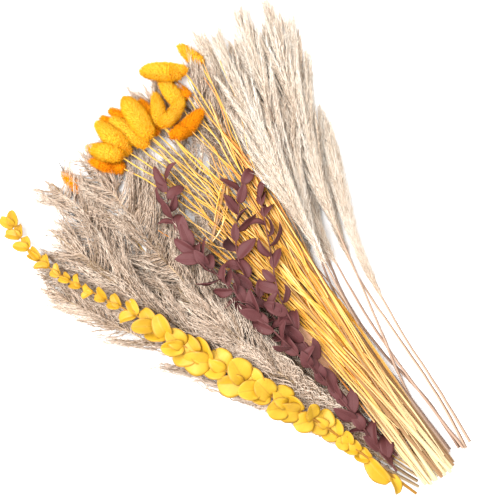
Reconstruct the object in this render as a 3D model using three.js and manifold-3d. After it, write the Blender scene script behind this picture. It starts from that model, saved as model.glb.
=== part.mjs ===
// A lying bundle of dried flowers and grasses: pampas plumes, reed plumes, bunny tails, dyed straws,
// burgundy branches and a yellow eucalyptus branch. Every cut stem is one solid, and nothing ties them.
// Millimetres. +Y runs from the cut ends to the tips, +X to the side of the reeds, +Z up from the table.
import * as THREE from 'three';
import { mergeVertices } from 'three/addons/utils/BufferGeometryUtils.js';
import Module from 'manifold-3d';

// ---- Driving dimensions -------------------------------------------------------------------------

const BUNDLE_LENGTH = 440; // from the cut ends to the tips of the longest heads
const FOOT_WIDTH = 72; // the fan's width at the cut ends
const HEAD_WIDTH = 316; // the fan's width at the tips
const SIDE_BOW = 24; // how far the fan's middle line swings to -X half way up
const FAN_POWER = 1.3; // 1 spreads the fan evenly, more keeps its lower part narrow

const PAMPAS_STEM_RADIUS = 1.7;
const PAMPAS_PLUME_LENGTH = 320;
const PAMPAS_PLUME_RADIUS = 14;
const PAMPAS_FLATNESS = 0.65; // a plume's thickness over its width, as it lies

const REED_STEM_RADIUS = 1.3;
const REED_PLUME_LENGTH = 235;
const REED_PLUME_RADIUS = 8;
const REED_FLATNESS = 0.75;

const BUNNY_STEM_RADIUS = 0.8;
const BUNNY_HEAD_LENGTH = 43;
const BUNNY_HEAD_RADIUS = 7.5;
const BUNNY_SHOULDER = 0.25; // how much of the turn to its head a bunny tail has made at its shoulder

const STRAW_HALF_WIDTH = 1.9;
const STRAW_FLATNESS = 0.5;

const BURGUNDY_STEM_RADIUS = 1.1;
const BURGUNDY_LEAF_LENGTH = 25;
const BURGUNDY_LEAF_WIDTH = 11.5;
const BURGUNDY_LEAF_STEP = 14; // from one leaf to the next, on the other side of the stem
const BURGUNDY_TURN = 36; // degrees that the upper leaves are turned away from their stem

const EUCALYPTUS_STEM_RADIUS = 1.4;
const EUCALYPTUS_LEAF_LENGTH = 21;
const EUCALYPTUS_LEAF_WIDTH = 20;
const EUCALYPTUS_LEAF_STEP = 19; // from one pair of leaves to the next
const EUCALYPTUS_TURN = 25; // degrees that its leaves are turned away from their stem

const DRY_LEAF_LENGTH = 68;
const DRY_LEAF_HALF_WIDTH = 4.5;

const LEAF_THICKNESS = 1.4;
const CLEARANCE = 0.6; // between two stems, heads or leaves that lie on each other
const TABLE_CLEARANCE = 0.4; // under what lies on the table, before the bundle is set down
const PROBE_STEP = 0.9; // spacing of the probes that feel for the pile, over their radius
const BRIDGING = 3; // how strongly a stem bridges a hollow
const CELL = 12; // side of the squares that the pile's probes are sorted into

// ---- The fan ------------------------------------------------------------------------------------

// A place in the fan: across is -1 at its -X edge and 1 at its +X edge, along is 0 at the cut ends
// and 1 at the tips.
function fan(across, along) {
  const low = Math.max(along, 0);
  const half = FOOT_WIDTH / 2 + ((HEAD_WIDTH - FOOT_WIDTH) / 2) * low ** FAN_POWER;
  const middle = -SIDE_BOW * Math.sin(Math.PI * low);
  return new THREE.Vector3(middle + across * half, along * BUNDLE_LENGTH, 0);
}

const { smoothstep } = THREE.MathUtils;

const fanCurve = (route) => new THREE.CatmullRomCurve3(route.map(([across, along]) => fan(across, along)));

// ---- The pile -----------------------------------------------------------------------------------

// What lies in the pile already, as small spheres sorted into squares of the table.
const pile = new Map();
let widestProbe = 0;

const squareOf = (x, y) => `${Math.floor(x / CELL)},${Math.floor(y / CELL)}`;

function addToPile(probes) {
  for (const probe of probes) {
    const key = squareOf(probe.x, probe.y);
    if (!pile.has(key)) pile.set(key, []);
    pile.get(key).push(probe);
    widestProbe = Math.max(widestProbe, probe.radius);
  }
}

// The least height of a sphere's centre that clears the table and all that lies under it.
function restingHeight(x, y, radius) {
  let height = radius + TABLE_CLEARANCE;
  const reach = radius + widestProbe + CLEARANCE;
  const steps = Math.ceil(reach / CELL);
  for (let i = -steps; i <= steps; i += 1) {
    for (let j = -steps; j <= steps; j += 1) {
      for (const other of pile.get(squareOf(x + i * CELL, y + j * CELL)) ?? []) {
        const sum = radius + other.radius + CLEARANCE;
        const apart = (x - other.x) ** 2 + (y - other.y) ** 2;
        if (apart < sum * sum) height = Math.max(height, other.z + Math.sqrt(sum * sum - apart));
      }
    }
  }
  return height;
}

// The probes of a flat section: a row of equal spheres across it, from edge to edge.
function acrossProbes(halfWidth, halfThickness) {
  const room = Math.max(halfWidth - halfThickness, 0);
  const count = 1 + 2 * Math.ceil(room / (1.3 * halfThickness));
  return Array.from({ length: count }, (_, i) => (count === 1 ? 0 : room * ((2 * i) / (count - 1) - 1)));
}

// The probes of a body swept along rings, each at the share of the ring that it hangs on.
function sweepProbes(rings, flatness) {
  const probes = [];
  for (let i = 0; i + 1 < rings.length; i += 1) {
    const a = rings[i];
    const b = rings[i + 1];
    const length = Math.hypot(b.x - a.x, b.y - a.y);
    const thinnest = Math.max(Math.min(a.radius, b.radius) * flatness, 0.8);
    const steps = Math.max(1, Math.ceil(length / (PROBE_STEP * thinnest)));
    const side = { x: (b.y - a.y) / length, y: (a.x - b.x) / length };
    for (let k = 0; k <= steps; k += 1) {
      const f = k / steps;
      const halfWidth = a.radius + f * (b.radius - a.radius);
      for (const shift of acrossProbes(halfWidth, halfWidth * flatness)) {
        probes.push({
          x: a.x + f * (b.x - a.x) + shift * side.x,
          y: a.y + f * (b.y - a.y) + shift * side.y,
          z: 0,
          radius: halfWidth * flatness,
          at: i + f,
        });
      }
    }
  }
  return probes;
}

// A stiff stem can't dip deep between close supports, so a ring in a hollow is lifted by its neighbours.
function bridged(least) {
  let heights = least;
  for (let pass = 0; pass < BRIDGING; pass += 1) {
    const before = heights;
    heights = least.map((low, i) => {
      const back = before[Math.max(0, i - 1)];
      const ahead = before[Math.min(before.length - 1, i + 1)];
      return Math.max(low, (back + 2 * before[i] + ahead) / 4);
    });
  }
  return heights;
}

// Lays a stem on the pile: gives its rings their heights, then adds it to the pile.
function layDown(rings, probes) {
  const least = rings.map(() => 0);
  for (const probe of probes) {
    const height = restingHeight(probe.x, probe.y, probe.radius) - probe.z;
    const low = Math.floor(probe.at);
    const high = Math.min(Math.ceil(probe.at), rings.length - 1);
    least[low] = Math.max(least[low], height);
    least[high] = Math.max(least[high], height);
  }
  const heights = bridged(least);
  rings.forEach((ring, i) => {
    ring.z = heights[i];
  });
  for (const probe of probes) probe.z += heightAt(rings, probe.at);
  addToPile(probes);
}

function heightAt(rings, at) {
  const low = Math.min(Math.floor(at), rings.length - 2);
  return rings[low].z + (at - low) * (rings[low + 1].z - rings[low].z);
}

// ---- Solids -------------------------------------------------------------------------------------

// A lathe-turned form bent along its rings. Its width lies level and its thickness stands up.
function sweep(rings, sides, flatness) {
  const profile = rings.map((ring, i) => new THREE.Vector2(ring.radius, i));
  profile.unshift(new THREE.Vector2(0, 0));
  profile.push(new THREE.Vector2(0, rings.length - 1));
  const turned = new THREE.LatheGeometry(profile, sides, Math.PI / sides);
  const position = turned.getAttribute('position');
  const points = rings.map((ring) => new THREE.Vector3(ring.x, ring.y, ring.z));
  const frames = points.map((point, i) => {
    const next = points[Math.min(i + 1, points.length - 1)];
    const ahead = next.clone().sub(points[Math.max(i - 1, 0)]).normalize();
    const side = ahead.clone().cross(new THREE.Vector3(0, 0, 1)).normalize();
    return { point, side, up: side.clone().cross(ahead) };
  });
  for (let i = 0; i < position.count; i += 1) {
    const { point, side, up } = frames[Math.round(position.getY(i))];
    const place = point.clone().addScaledVector(side, position.getX(i));
    place.addScaledVector(up, position.getZ(i) * flatness);
    position.setXYZ(i, place.x, place.y, place.z);
  }
  return closedGeometry(turned);
}

// Merges what a lathe leaves open at its seam and its two ends.
function closedGeometry(geometry) {
  geometry.deleteAttribute('normal');
  geometry.deleteAttribute('uv');
  const merged = mergeVertices(geometry, 1e-4);
  const index = Array.from(merged.getIndex().array);
  const kept = [];
  for (let i = 0; i < index.length; i += 3) {
    const [a, b, c] = index.slice(i, i + 3);
    if (a !== b && b !== c && c !== a) kept.push(a, b, c);
  }
  merged.setIndex(kept);
  return merged;
}

const wasm = await Module();
wasm.setup();

function toSolid(geometry) {
  const mesh = new wasm.Mesh({
    numProp: 3,
    vertProperties: new Float32Array(geometry.getAttribute('position').array),
    triVerts: new Uint32Array(geometry.getIndex().array),
  });
  return new wasm.Manifold(mesh);
}

function joined(geometries) {
  const solid = geometries.map(toSolid).reduce((whole, next) => whole.add(next));
  const mesh = solid.getMesh();
  const geometry = new THREE.BufferGeometry();
  geometry.setAttribute('position', new THREE.BufferAttribute(mesh.vertProperties, 3));
  geometry.setIndex(Array.from(mesh.triVerts));
  return geometry;
}

// ---- The plants ---------------------------------------------------------------------------------

const bundle = new THREE.Group();

function addNode(name, geometry, finish) {
  const mesh = new THREE.Mesh(geometry, new THREE.MeshStandardMaterial({ metalness: 0, ...finish }));
  mesh.name = name;
  bundle.add(mesh);
}

// Rings along a curve: stemRings up to the foot of the head, then headRings over the head's length.
function ringsAlong(curve, headLength, stemRings, headRings, radiusAt) {
  const neck = 1 - headLength / curve.getLength();
  const shares = [];
  for (let i = 0; i < stemRings; i += 1) shares.push((neck * i) / stemRings);
  for (let i = 0; i <= headRings; i += 1) shares.push(neck + ((1 - neck) * i) / headRings);
  return shares.map((share) => {
    const { x, y } = curve.getPointAt(share);
    return { x, y, z: 0, radius: radiusAt((share - neck) / (1 - neck)) };
  });
}

// The outline of a head from its foot, 0, to its tip, 1. fullness moves its widest place.
function headRadius(share, stemRadius, radius, fullness, tipRadius) {
  if (share <= 0) return stemRadius;
  const swell = Math.sin(Math.PI * share ** fullness) ** 0.75;
  const end = stemRadius + share * (tipRadius - stemRadius);
  return end + (radius - end) * Math.max(swell, 0);
}

function plumeGrass(name, plant, sizes, finish) {
  const length = sizes.plumeLength * plant.plume;
  const girth = sizes.plumeRadius * plant.girth;
  const outline = (share) => headRadius(share, sizes.stemRadius, girth, sizes.fullness, sizes.tipRadius);
  const rings = ringsAlong(fanCurve(plant.route), length, sizes.stemRings, sizes.headRings, outline);
  layDown(rings, sweepProbes(rings, sizes.flatness));
  addNode(name, sweep(rings, sizes.sides, sizes.flatness), finish);
}

const PAMPAS_SIZES = {
  stemRadius: PAMPAS_STEM_RADIUS,
  plumeLength: PAMPAS_PLUME_LENGTH,
  plumeRadius: PAMPAS_PLUME_RADIUS,
  flatness: PAMPAS_FLATNESS,
  fullness: 1.25,
  tipRadius: 2.5,
  stemRings: 3,
  headRings: 10,
  sides: 8,
};

const REED_SIZES = {
  stemRadius: REED_STEM_RADIUS,
  plumeLength: REED_PLUME_LENGTH,
  plumeRadius: REED_PLUME_RADIUS,
  flatness: REED_FLATNESS,
  fullness: 1,
  tipRadius: 1.5,
  stemRings: 8,
  headRings: 8,
  sides: 7,
};

// Each plant's route gives places in the fan from its cut end to its tip. Plants are laid in this
// order, so the last ones lie on top.
const PAMPAS = [
  { route: [[-0.59, 0.03], [-0.7, 0.36], [-0.79, 0.7], [-0.76, 0.97]], plume: 1, girth: 1 },
  { route: [[-0.83, 0.01], [-0.86, 0.31], [-1.0, 0.6], [-1.18, 0.85]], plume: 0.8, girth: 0.95 },
  { route: [[-0.35, 0.02], [-0.2, 0.36], [-0.2, 0.7], [-0.26, 0.94]], plume: 0.85, girth: 0.9 },
  { route: [[-0.1, 0.02], [0.3, 0.36], [0.32, 0.7], [0.28, 1]], plume: 0.85, girth: 0.95 },
  { route: [[-0.47, 0.03], [-0.49, 0.36], [-0.56, 0.66], [-0.5, 0.97]], plume: 1, girth: 1 },
  { route: [[-0.23, 0.02], [0.04, 0.36], [0.05, 0.7], [0, 1]], plume: 0.9, girth: 0.95 },
  { route: [[-0.92, 0], [-1.06, 0.3], [-1.15, 0.55], [-1.32, 0.8]], plume: 0.75, girth: 0.85 },
  { route: [[-0.71, 0.02], [-0.78, 0.32], [-0.9, 0.62], [-0.98, 0.9]], plume: 0.85, girth: 0.95 },
  { route: [[-0.53, 0.02], [-0.58, 0.24], [-0.62, 0.44], [-0.64, 0.63]], plume: 0.55, girth: 0.75 },
];

const REEDS = [
  {
    route: [[0.64, 0], [0.95, 0.12], [0.96, 0.3], [0.9, 0.45], [0.96, 0.66], [1.02, 0.91]],
    plume: 1,
    girth: 1,
  },
  {
    route: [[0.52, 0.01], [0.73, 0.14], [0.63, 0.27], [0.64, 0.42], [0.8, 0.66], [0.79, 0.94]],
    plume: 0.95,
    girth: 0.95,
  },
  {
    route: [[0.59, 0.005], [0.71, 0.14], [0.74, 0.3], [0.74, 0.46], [0.67, 0.7], [0.61, 0.95]],
    plume: 0.95,
    girth: 0.9,
  },
  { route: [[0.2, 0.02], [0.49, 0.3], [0.5, 0.66], [0.44, 1]], plume: 0.95, girth: 0.9 },
  {
    route: [[0.82, 0.005], [1.05, 0.13], [1.06, 0.29], [1.05, 0.5], [1.12, 0.72]],
    plume: 0.72,
    girth: 0.75,
  },
  {
    route: [[0.14, 0.03], [0.36, 0.1], [0.6, 0.2], [0.82, 0.32], [0.9, 0.66], [0.9, 0.97]],
    plume: 1,
    girth: 1,
  },
  { route: [[0.32, 0.02], [0.52, 0.2], [0.53, 0.4], [0.7, 0.68], [0.71, 0.99]], plume: 1, girth: 1 },
  { route: [[0.26, 0.02], [0.56, 0.3], [0.59, 0.68], [0.53, 0.985]], plume: 1, girth: 1 },
];

// foot and waist are a bunny tail's places across the fan at its cut end and a third of the way up.
// Its neck is where its head starts, and nod is how far the head turns to +X there, in degrees.
const BUNNY_TAILS = [
  { foot: 0.15, waist: 0.4, neck: [0.38, 0.965], nod: -10, size: 0.66 },
  { foot: 0.03, waist: 0.34, neck: [0.22, 0.925], nod: -12, size: 0.68 },
  { foot: -0.03, waist: 0.31, neck: [0.16, 0.915], nod: 2, size: 0.82 },
  { foot: -0.4, waist: 0.15, neck: [-0.16, 0.96], nod: -20, size: 0.6 },
  { foot: -0.58, waist: 0.06, neck: [-0.24, 0.96], nod: -17, size: 0.58 },
  { foot: -0.7, waist: 0, neck: [-0.36, 0.895], nod: -38, size: 0.75 },
  { foot: -0.28, waist: 0.2, neck: [-0.06, 0.905], nod: 11, size: 0.85 },
  { foot: -0.46, waist: 0.12, neck: [-0.15, 0.9], nod: -15, size: 0.98 },
  { foot: -0.15, waist: 0.26, neck: [-0.01, 0.915], nod: 26, size: 0.72 },
  { foot: -0.52, waist: 0.09, neck: [-0.27, 0.91], nod: -9, size: 1.02 },
  { foot: -0.64, waist: 0.03, neck: [-0.32, 0.91], nod: -33, size: 0.9 },
  { foot: 0.09, waist: 0.37, neck: [0.27, 0.965], nod: -45, size: 1 },
  { foot: -0.34, waist: 0.18, neck: [-0.1, 0.905], nod: 3, size: 1.1 },
  { foot: -0.21, waist: 0.23, neck: [0, 0.905], nod: 70, size: 0.7 },
  { foot: -0.09, waist: 0.29, neck: [0.02, 0.872], nod: 80, size: 0.85 },
];

// One more bunny tail lies under the pampas plumes, and only its head looks out between them.
const BURIED_BUNNY_TAIL = { foot: -0.65, waist: -0.6, neck: [-0.66, 0.915], nod: -8, size: 0.6 };

function bunnyTail(name, plant, finish) {
  const headLength = BUNNY_HEAD_LENGTH * plant.size;
  const neck = fan(...plant.neck);
  const turn = THREE.MathUtils.degToRad(plant.nod);
  const heading = new THREE.Vector3(Math.sin(turn), Math.cos(turn), 0);
  const shoulder = plant.waist + BUNNY_SHOULDER * (plant.neck[0] - plant.waist);
  const stem = [fan(plant.foot, 0.01), fan(plant.waist, 0.36), fan(shoulder, 0.7)];
  const middle = neck.clone().addScaledVector(heading, headLength / 2);
  const tip = neck.clone().addScaledVector(heading, headLength);
  const curve = new THREE.CatmullRomCurve3([...stem, neck, middle, tip]);
  const girth = BUNNY_HEAD_RADIUS * plant.size;
  const outline = (share) => headRadius(share, BUNNY_STEM_RADIUS, girth, 0.85, 1.5);
  const rings = ringsAlong(curve, headLength, 9, 7, outline);
  layDown(rings, sweepProbes(rings, 1));
  addNode(name, sweep(rings, 6, 1), finish);
}

// A straw's place across the fan at its foot, its waist and its tip, and how far its tip reaches.
// broad makes it wider than the usual straw.
const STRAWS = [
  { foot: -0.74, waist: -0.02, tip: -0.16, reach: 0.64 },
  { foot: -0.58, waist: 0.1, tip: 0, reach: 0.56 },
  { foot: -0.42, waist: 0.18, tip: 0.12, reach: 0.7 },
  { foot: -0.26, waist: 0.26, tip: 0.2, reach: 0.62 },
  { foot: -0.1, waist: 0.34, tip: 0.3, reach: 0.72 },
  { foot: 0.04, waist: 0.42, tip: 0.38, reach: 0.66 },
  { foot: 0.16, waist: 0.5, tip: 0.44, reach: 0.58 },
  { foot: -0.66, waist: 0.06, tip: 0.06, reach: 0.74 },
  { foot: -0.5, waist: 0.02, tip: -0.1, reach: 0.7 },
  { foot: -0.34, waist: 0.22, tip: 0.26, reach: 0.66 },
  { foot: -0.18, waist: 0.3, tip: 0.34, reach: 0.88 },
  { foot: -0.02, waist: 0.38, tip: 0.3, reach: 0.6 },
  { foot: 0.1, waist: 0.44, tip: 0.42, reach: 0.76 },
  { foot: -0.62, waist: 0.14, tip: 0.14, reach: 0.52 },
  { foot: -0.46, waist: 0.24, tip: 0.04, reach: 0.6, broad: 1.3 },
  { foot: -0.3, waist: 0.08, tip: -0.06, reach: 0.54 },
  { foot: -0.14, waist: 0.2, tip: 0.22, reach: 0.5 },
  { foot: 0.02, waist: 0.3, tip: 0.12, reach: 0.64, broad: 1.5 },
  { foot: -0.22, waist: 0.4, tip: 0.36, reach: 0.8 },
  { foot: -0.06, waist: 0.14, tip: -0.02, reach: 0.68, broad: 1.2 },
];

// One short blade has come loose and lies across the others.
const LOOSE_BLADE_ROUTE = [[0.22, 0.75], [0, 0.7], [-0.2, 0.66]];

function straw(name, route, broad, finish) {
  const curve = fanCurve(route);
  const halfWidth = STRAW_HALF_WIDTH * broad;
  const outline = (share) => (share < 0 ? halfWidth : halfWidth * (1 - 0.6 * share ** 2));
  const rings = ringsAlong(curve, curve.getLength() / 3, 6, 3, outline);
  layDown(rings, sweepProbes(rings, STRAW_FLATNESS));
  addNode(name, sweep(rings, 5, STRAW_FLATNESS), finish);
}

// One leaf that starts inside its stem. turn is its angle from the stem towards +X, lift its slope.
function leafRings(foot, heading, leaf) {
  const shares = [0, 0.2, 0.5, 0.8, 1];
  const slope = THREE.MathUtils.degToRad(leaf.lift);
  const run = leaf.length * Math.cos(slope);
  return shares.map((share) => ({
    x: foot.x + heading.x * run * share,
    y: foot.y + heading.y * run * share,
    z: leaf.length * Math.sin(slope) * share,
    radius: (leaf.width / 2) * Math.max(Math.sin(Math.PI * share ** leaf.roundness), 0) ** leaf.bluntness,
  }));
}

// A stem with its leaves, joined into one solid. leafSize scales each leaf by its place in their row,
// and leafTurn gives the degrees that it is turned away from the stem.
function leafyBranch(name, plant, finish) {
  const curve = fanCurve(plant.route);
  const length = curve.getLength();
  const stemRings = Math.round(length / 30);
  const rings = ringsAlong(curve, length / 4, stemRings, 3, (share) =>
    plant.stemRadius * (share < 0 ? 1 : 1 - 0.4 * share),
  );
  const probes = sweepProbes(rings, 1);
  const leaves = [];
  const first = plant.bare;
  const count = Math.floor((length - first) / plant.leaf.step);
  for (let i = 0; i <= count; i += 1) {
    const share = Math.min((first + i * plant.leaf.step) / length, 0.995);
    const foot = curve.getPointAt(share);
    const ahead = curve.getTangentAt(share);
    const size = plant.leafSize(i / count);
    const sides = i === count ? [0] : plant.leaf.paired ? [-1, 1] : [i % 2 ? 1 : -1];
    for (const side of sides) {
      const turn = plant.leafTurn(i / count) + plant.leaf.sway * Math.sin(2.4 * i + side);
      const heading = ahead.clone();
      heading.applyAxisAngle(new THREE.Vector3(0, 0, 1), -side * THREE.MathUtils.degToRad(turn));
      const lift = plant.leaf.lift * Math.cos(1.7 * i + 2 * side);
      const leaf = { ...plant.leaf, lift };
      leaf.length *= size;
      leaf.width *= size;
      const at = ringPlace(rings, foot);
      leaves.push({ at, rings: leafRings(foot, heading, leaf) });
    }
  }
  for (const leaf of leaves) {
    for (const probe of leafProbes(leaf.rings)) probes.push({ ...probe, at: leaf.at });
  }
  layDown(rings, probes);
  const solids = [sweep(rings, 6, 1)];
  for (const leaf of leaves) {
    const height = heightAt(rings, leaf.at);
    const lifted = leaf.rings.map((ring) => ({ ...ring, z: ring.z + height }));
    solids.push(sweepLeaf(lifted));
  }
  addNode(name, joined(solids), finish);
}

// Where along the rings a point of the branch lies.
function ringPlace(rings, point) {
  let best = { apart: Infinity, at: 0 };
  for (let i = 0; i + 1 < rings.length; i += 1) {
    const a = rings[i];
    const b = rings[i + 1];
    const span = (b.x - a.x) ** 2 + (b.y - a.y) ** 2;
    const along = ((point.x - a.x) * (b.x - a.x) + (point.y - a.y) * (b.y - a.y)) / span;
    const f = THREE.MathUtils.clamp(along, 0, 1);
    const apart = Math.hypot(a.x + f * (b.x - a.x) - point.x, a.y + f * (b.y - a.y) - point.y);
    if (apart < best.apart) best = { apart, at: i + f };
  }
  return best.at;
}

function leafProbes(rings) {
  const radius = LEAF_THICKNESS / 2;
  const probes = [];
  for (let i = 0; i + 1 < rings.length; i += 1) {
    const a = rings[i];
    const b = rings[i + 1];
    const length = Math.hypot(b.x - a.x, b.y - a.y);
    const steps = Math.ceil(length / (2 * radius));
    const side = { x: (b.y - a.y) / length, y: (a.x - b.x) / length };
    for (let k = 0; k <= steps; k += 1) {
      const f = k / steps;
      const room = Math.max(a.radius + f * (b.radius - a.radius) - radius, 0);
      const count = Math.ceil(room / (2 * radius));
      for (let j = -count; j <= count; j += 1) {
        const shift = count ? (room * j) / count : 0;
        probes.push({
          x: a.x + f * (b.x - a.x) + shift * side.x,
          y: a.y + f * (b.y - a.y) + shift * side.y,
          z: a.z + f * (b.z - a.z),
          radius,
        });
      }
    }
  }
  return probes;
}

// A thin leaf with four sides: two edges, a ridge above and a ridge below.
function sweepLeaf(rings) {
  const last = rings.length - 1;
  const profile = rings.map((ring, i) => new THREE.Vector2(i === 0 || i === last ? 0 : 1, i));
  const turned = new THREE.LatheGeometry(profile, 4);
  const position = turned.getAttribute('position');
  const from = rings[0];
  const to = rings[last];
  const ahead = new THREE.Vector3(to.x - from.x, to.y - from.y, to.z - from.z).normalize();
  const side = ahead.clone().cross(new THREE.Vector3(0, 0, 1)).normalize();
  const up = side.clone().cross(ahead);
  for (let i = 0; i < position.count; i += 1) {
    const ring = rings[Math.round(position.getY(i))];
    const place = new THREE.Vector3(ring.x, ring.y, ring.z);
    place.addScaledVector(side, position.getX(i) * ring.radius);
    place.addScaledVector(up, (position.getZ(i) * LEAF_THICKNESS) / 2);
    position.setXYZ(i, place.x, place.y, place.z);
  }
  return closedGeometry(turned);
}

const BURGUNDY_LEAF = {
  length: BURGUNDY_LEAF_LENGTH,
  width: BURGUNDY_LEAF_WIDTH,
  step: BURGUNDY_LEAF_STEP,
  sway: 14,
  lift: 14,
  roundness: 0.85,
  paired: false,
  bluntness: 0.9,
};

const EUCALYPTUS_LEAF = {
  length: EUCALYPTUS_LEAF_LENGTH,
  width: EUCALYPTUS_LEAF_WIDTH,
  step: EUCALYPTUS_LEAF_STEP,
  sway: 14,
  lift: 16,
  roundness: 0.9,
  paired: true,
  bluntness: 0.55,
};

const BURGUNDY_ROUTES = [
  {
    route: [[-0.7, 0.08], [-0.3, 0.3], [-0.18, 0.46], [-0.08, 0.6], [0.16, 0.68], [0.34, 0.73]],
    bare: 150,
    lowestTurn: 34,
  },
  {
    route: [[-0.6, 0.08], [-0.2, 0.32], [0, 0.48], [0.22, 0.58], [0.38, 0.68]],
    bare: 130,
    lowestTurn: 30,
  },
  {
    route: [[-0.88, 0.06], [-0.6, 0.15], [-0.32, 0.28], [-0.27, 0.46], [-0.32, 0.72], [-0.16, 0.83]],
    bare: 12,
    lowestTurn: 10,
  },
];

const EUCALYPTUS_ROUTE = [
  [-1.05, 0], [-0.94, 0.16], [-0.88, 0.27], [-0.98, 0.5], [-1.04, 0.66], [-1.16, 0.81], [-1.16, 0.89],
  [-1.1, 0.95],
];

const DRY_LEAF_ROUTE = [[-0.14, 0.28], [-0.06, 0.35], [-0.04, 0.43]];

function dryLeaf(name, finish) {
  const whole = fanCurve(DRY_LEAF_ROUTE);
  const foot = whole.getPointAt(0);
  const heading = whole.getTangentAt(0.5);
  const bend = new THREE.Vector3(heading.y, -heading.x, 0);
  const middle = foot.clone().addScaledVector(heading, DRY_LEAF_LENGTH / 2).addScaledVector(bend, 3);
  const tip = foot.clone().addScaledVector(heading, DRY_LEAF_LENGTH);
  const curve = new THREE.CatmullRomCurve3([foot, middle, tip]);
  const outline = (share) => headRadius(Math.max(share, 0), 1, DRY_LEAF_HALF_WIDTH, 0.9, 0.8);
  const rings = ringsAlong(curve, curve.getLength() * 0.98, 1, 6, outline);
  layDown(rings, sweepProbes(rings, 0.3));
  addNode(name, sweep(rings, 6, 0.3), finish);
}

// ---- The bundle ---------------------------------------------------------------------------------

const PAMPAS_FINISH = { color: 0xc8b9aa, roughness: 0.95 };
const REED_FINISH = { color: 0xe1d2be, roughness: 0.95 };
const BUNNY_FINISH = { color: 0xffc01e, roughness: 0.9 };
const STRAW_FINISH = { color: 0xf7b838, roughness: 0.6 };
const BURGUNDY_FINISH = { color: 0x6c4049, roughness: 0.7 };
const EUCALYPTUS_FINISH = { color: 0xf3c02c, roughness: 0.65 };
const DRY_LEAF_FINISH = { color: 0xebb48c, roughness: 0.7 };

bunnyTail(`bunny_tail_${BUNNY_TAILS.length + 1}`, BURIED_BUNNY_TAIL, BUNNY_FINISH);
PAMPAS.forEach((plant, i) => plumeGrass(`pampas_grass_${i + 1}`, plant, PAMPAS_SIZES, PAMPAS_FINISH));
REEDS.forEach((plant, i) => plumeGrass(`reed_grass_${i + 1}`, plant, REED_SIZES, REED_FINISH));
BUNNY_TAILS.forEach((plant, i) => bunnyTail(`bunny_tail_${i + 1}`, plant, BUNNY_FINISH));
STRAWS.forEach((plant, i) => {
  const route = [[plant.foot, 0], [plant.waist, 0.36], [plant.tip, plant.reach]];
  straw(`straw_${i + 1}`, route, plant.broad ?? 1, STRAW_FINISH);
});
straw(`straw_${STRAWS.length + 1}`, LOOSE_BLADE_ROUTE, 1.1, STRAW_FINISH);

BURGUNDY_ROUTES.forEach((plant, i) => {
  const branch = {
    ...plant,
    leaf: BURGUNDY_LEAF,
    stemRadius: BURGUNDY_STEM_RADIUS,
    leafSize: (share) => 1 - 0.25 * share,
    leafTurn: (share) => plant.lowestTurn + (BURGUNDY_TURN - plant.lowestTurn) * smoothstep(share, 0.3, 0.6),
  };
  leafyBranch(`burgundy_branch_${i + 1}`, branch, BURGUNDY_FINISH);
});

// The eucalyptus leaves grow to full size up to a third of the way, then shrink, and the last are a
// little bigger again.
function eucalyptusLeafSize(share) {
  const small = smoothstep(share, 0.5, 0.75);
  const last = smoothstep(share, 0.85, 0.95);
  return 0.75 + 0.25 * smoothstep(share, 0, 0.3) - 0.5 * small + 0.2 * last;
}

const eucalyptus = {
  route: EUCALYPTUS_ROUTE,
  leaf: EUCALYPTUS_LEAF,
  stemRadius: EUCALYPTUS_STEM_RADIUS,
  bare: 8,
  leafSize: eucalyptusLeafSize,
  leafTurn: () => EUCALYPTUS_TURN,
};
leafyBranch('eucalyptus_branch', eucalyptus, EUCALYPTUS_FINISH);

dryLeaf('dried_leaf', DRY_LEAF_FINISH);

// The origin is the middle of the bundle's box, on the table.
const box = new THREE.Box3().setFromObject(bundle);
const centre = box.getCenter(new THREE.Vector3());
bundle.position.set(-centre.x, -centre.y, -box.min.z);

export default bundle;
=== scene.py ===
"""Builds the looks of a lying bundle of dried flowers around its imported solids.

Metres. +Y runs from the cut ends to the tips, +X to the side of the reeds, +Z up from the surface.
"""

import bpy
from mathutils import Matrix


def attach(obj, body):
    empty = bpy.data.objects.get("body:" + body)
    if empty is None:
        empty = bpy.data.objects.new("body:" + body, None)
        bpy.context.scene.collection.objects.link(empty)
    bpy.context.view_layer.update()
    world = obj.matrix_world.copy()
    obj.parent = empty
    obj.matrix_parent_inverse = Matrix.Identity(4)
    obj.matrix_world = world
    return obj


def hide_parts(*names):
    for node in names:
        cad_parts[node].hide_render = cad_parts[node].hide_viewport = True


bl_info = {
    "name": "Dried Bouquet",
    "version": (1, 0, 0),
    "blender": (4, 5, 0),
    "location": "View3D > Sidebar > Bouquet",
    "description": "Builds pampas plumes, reeds, bunny tails, straws and leafy branches on their solids",
    "category": "Object",
}

import math

import bpy
import numpy as np
from bpy.props import FloatProperty, FloatVectorProperty, IntProperty, PointerProperty
from mathutils import Vector
from mathutils.bvhtree import BVHTree

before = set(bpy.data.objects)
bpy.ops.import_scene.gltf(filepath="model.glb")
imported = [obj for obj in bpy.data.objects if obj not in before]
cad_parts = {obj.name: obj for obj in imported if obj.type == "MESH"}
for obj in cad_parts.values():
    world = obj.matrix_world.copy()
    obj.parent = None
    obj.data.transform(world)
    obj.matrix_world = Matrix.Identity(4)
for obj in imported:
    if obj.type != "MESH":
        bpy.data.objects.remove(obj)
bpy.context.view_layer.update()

UP = np.array([0.0, 0.0, 1.0])
FLOOR_GAP = 0.0004  # how far the lowest hairs stay over the surface
EDGE_STEP = 0.012  # how much the tone shifts from one corner of a hair to the next
TONE_ROOM = 0.95  # what that shift leaves of the tone's scale
BAKE_MAP = "OFBake"  # a UV map that holds each point's tone and its share of the way to the tip


# ---- Node trees ---------------------------------------------------------------------------------


def wired(operation, swapped=False):
    """A method of Wire that adds this operation's node."""
    def method(self, other):
        values = (other, self) if swapped else (self, other)
        return self.kit.calc(operation, *values)
    return method


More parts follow.
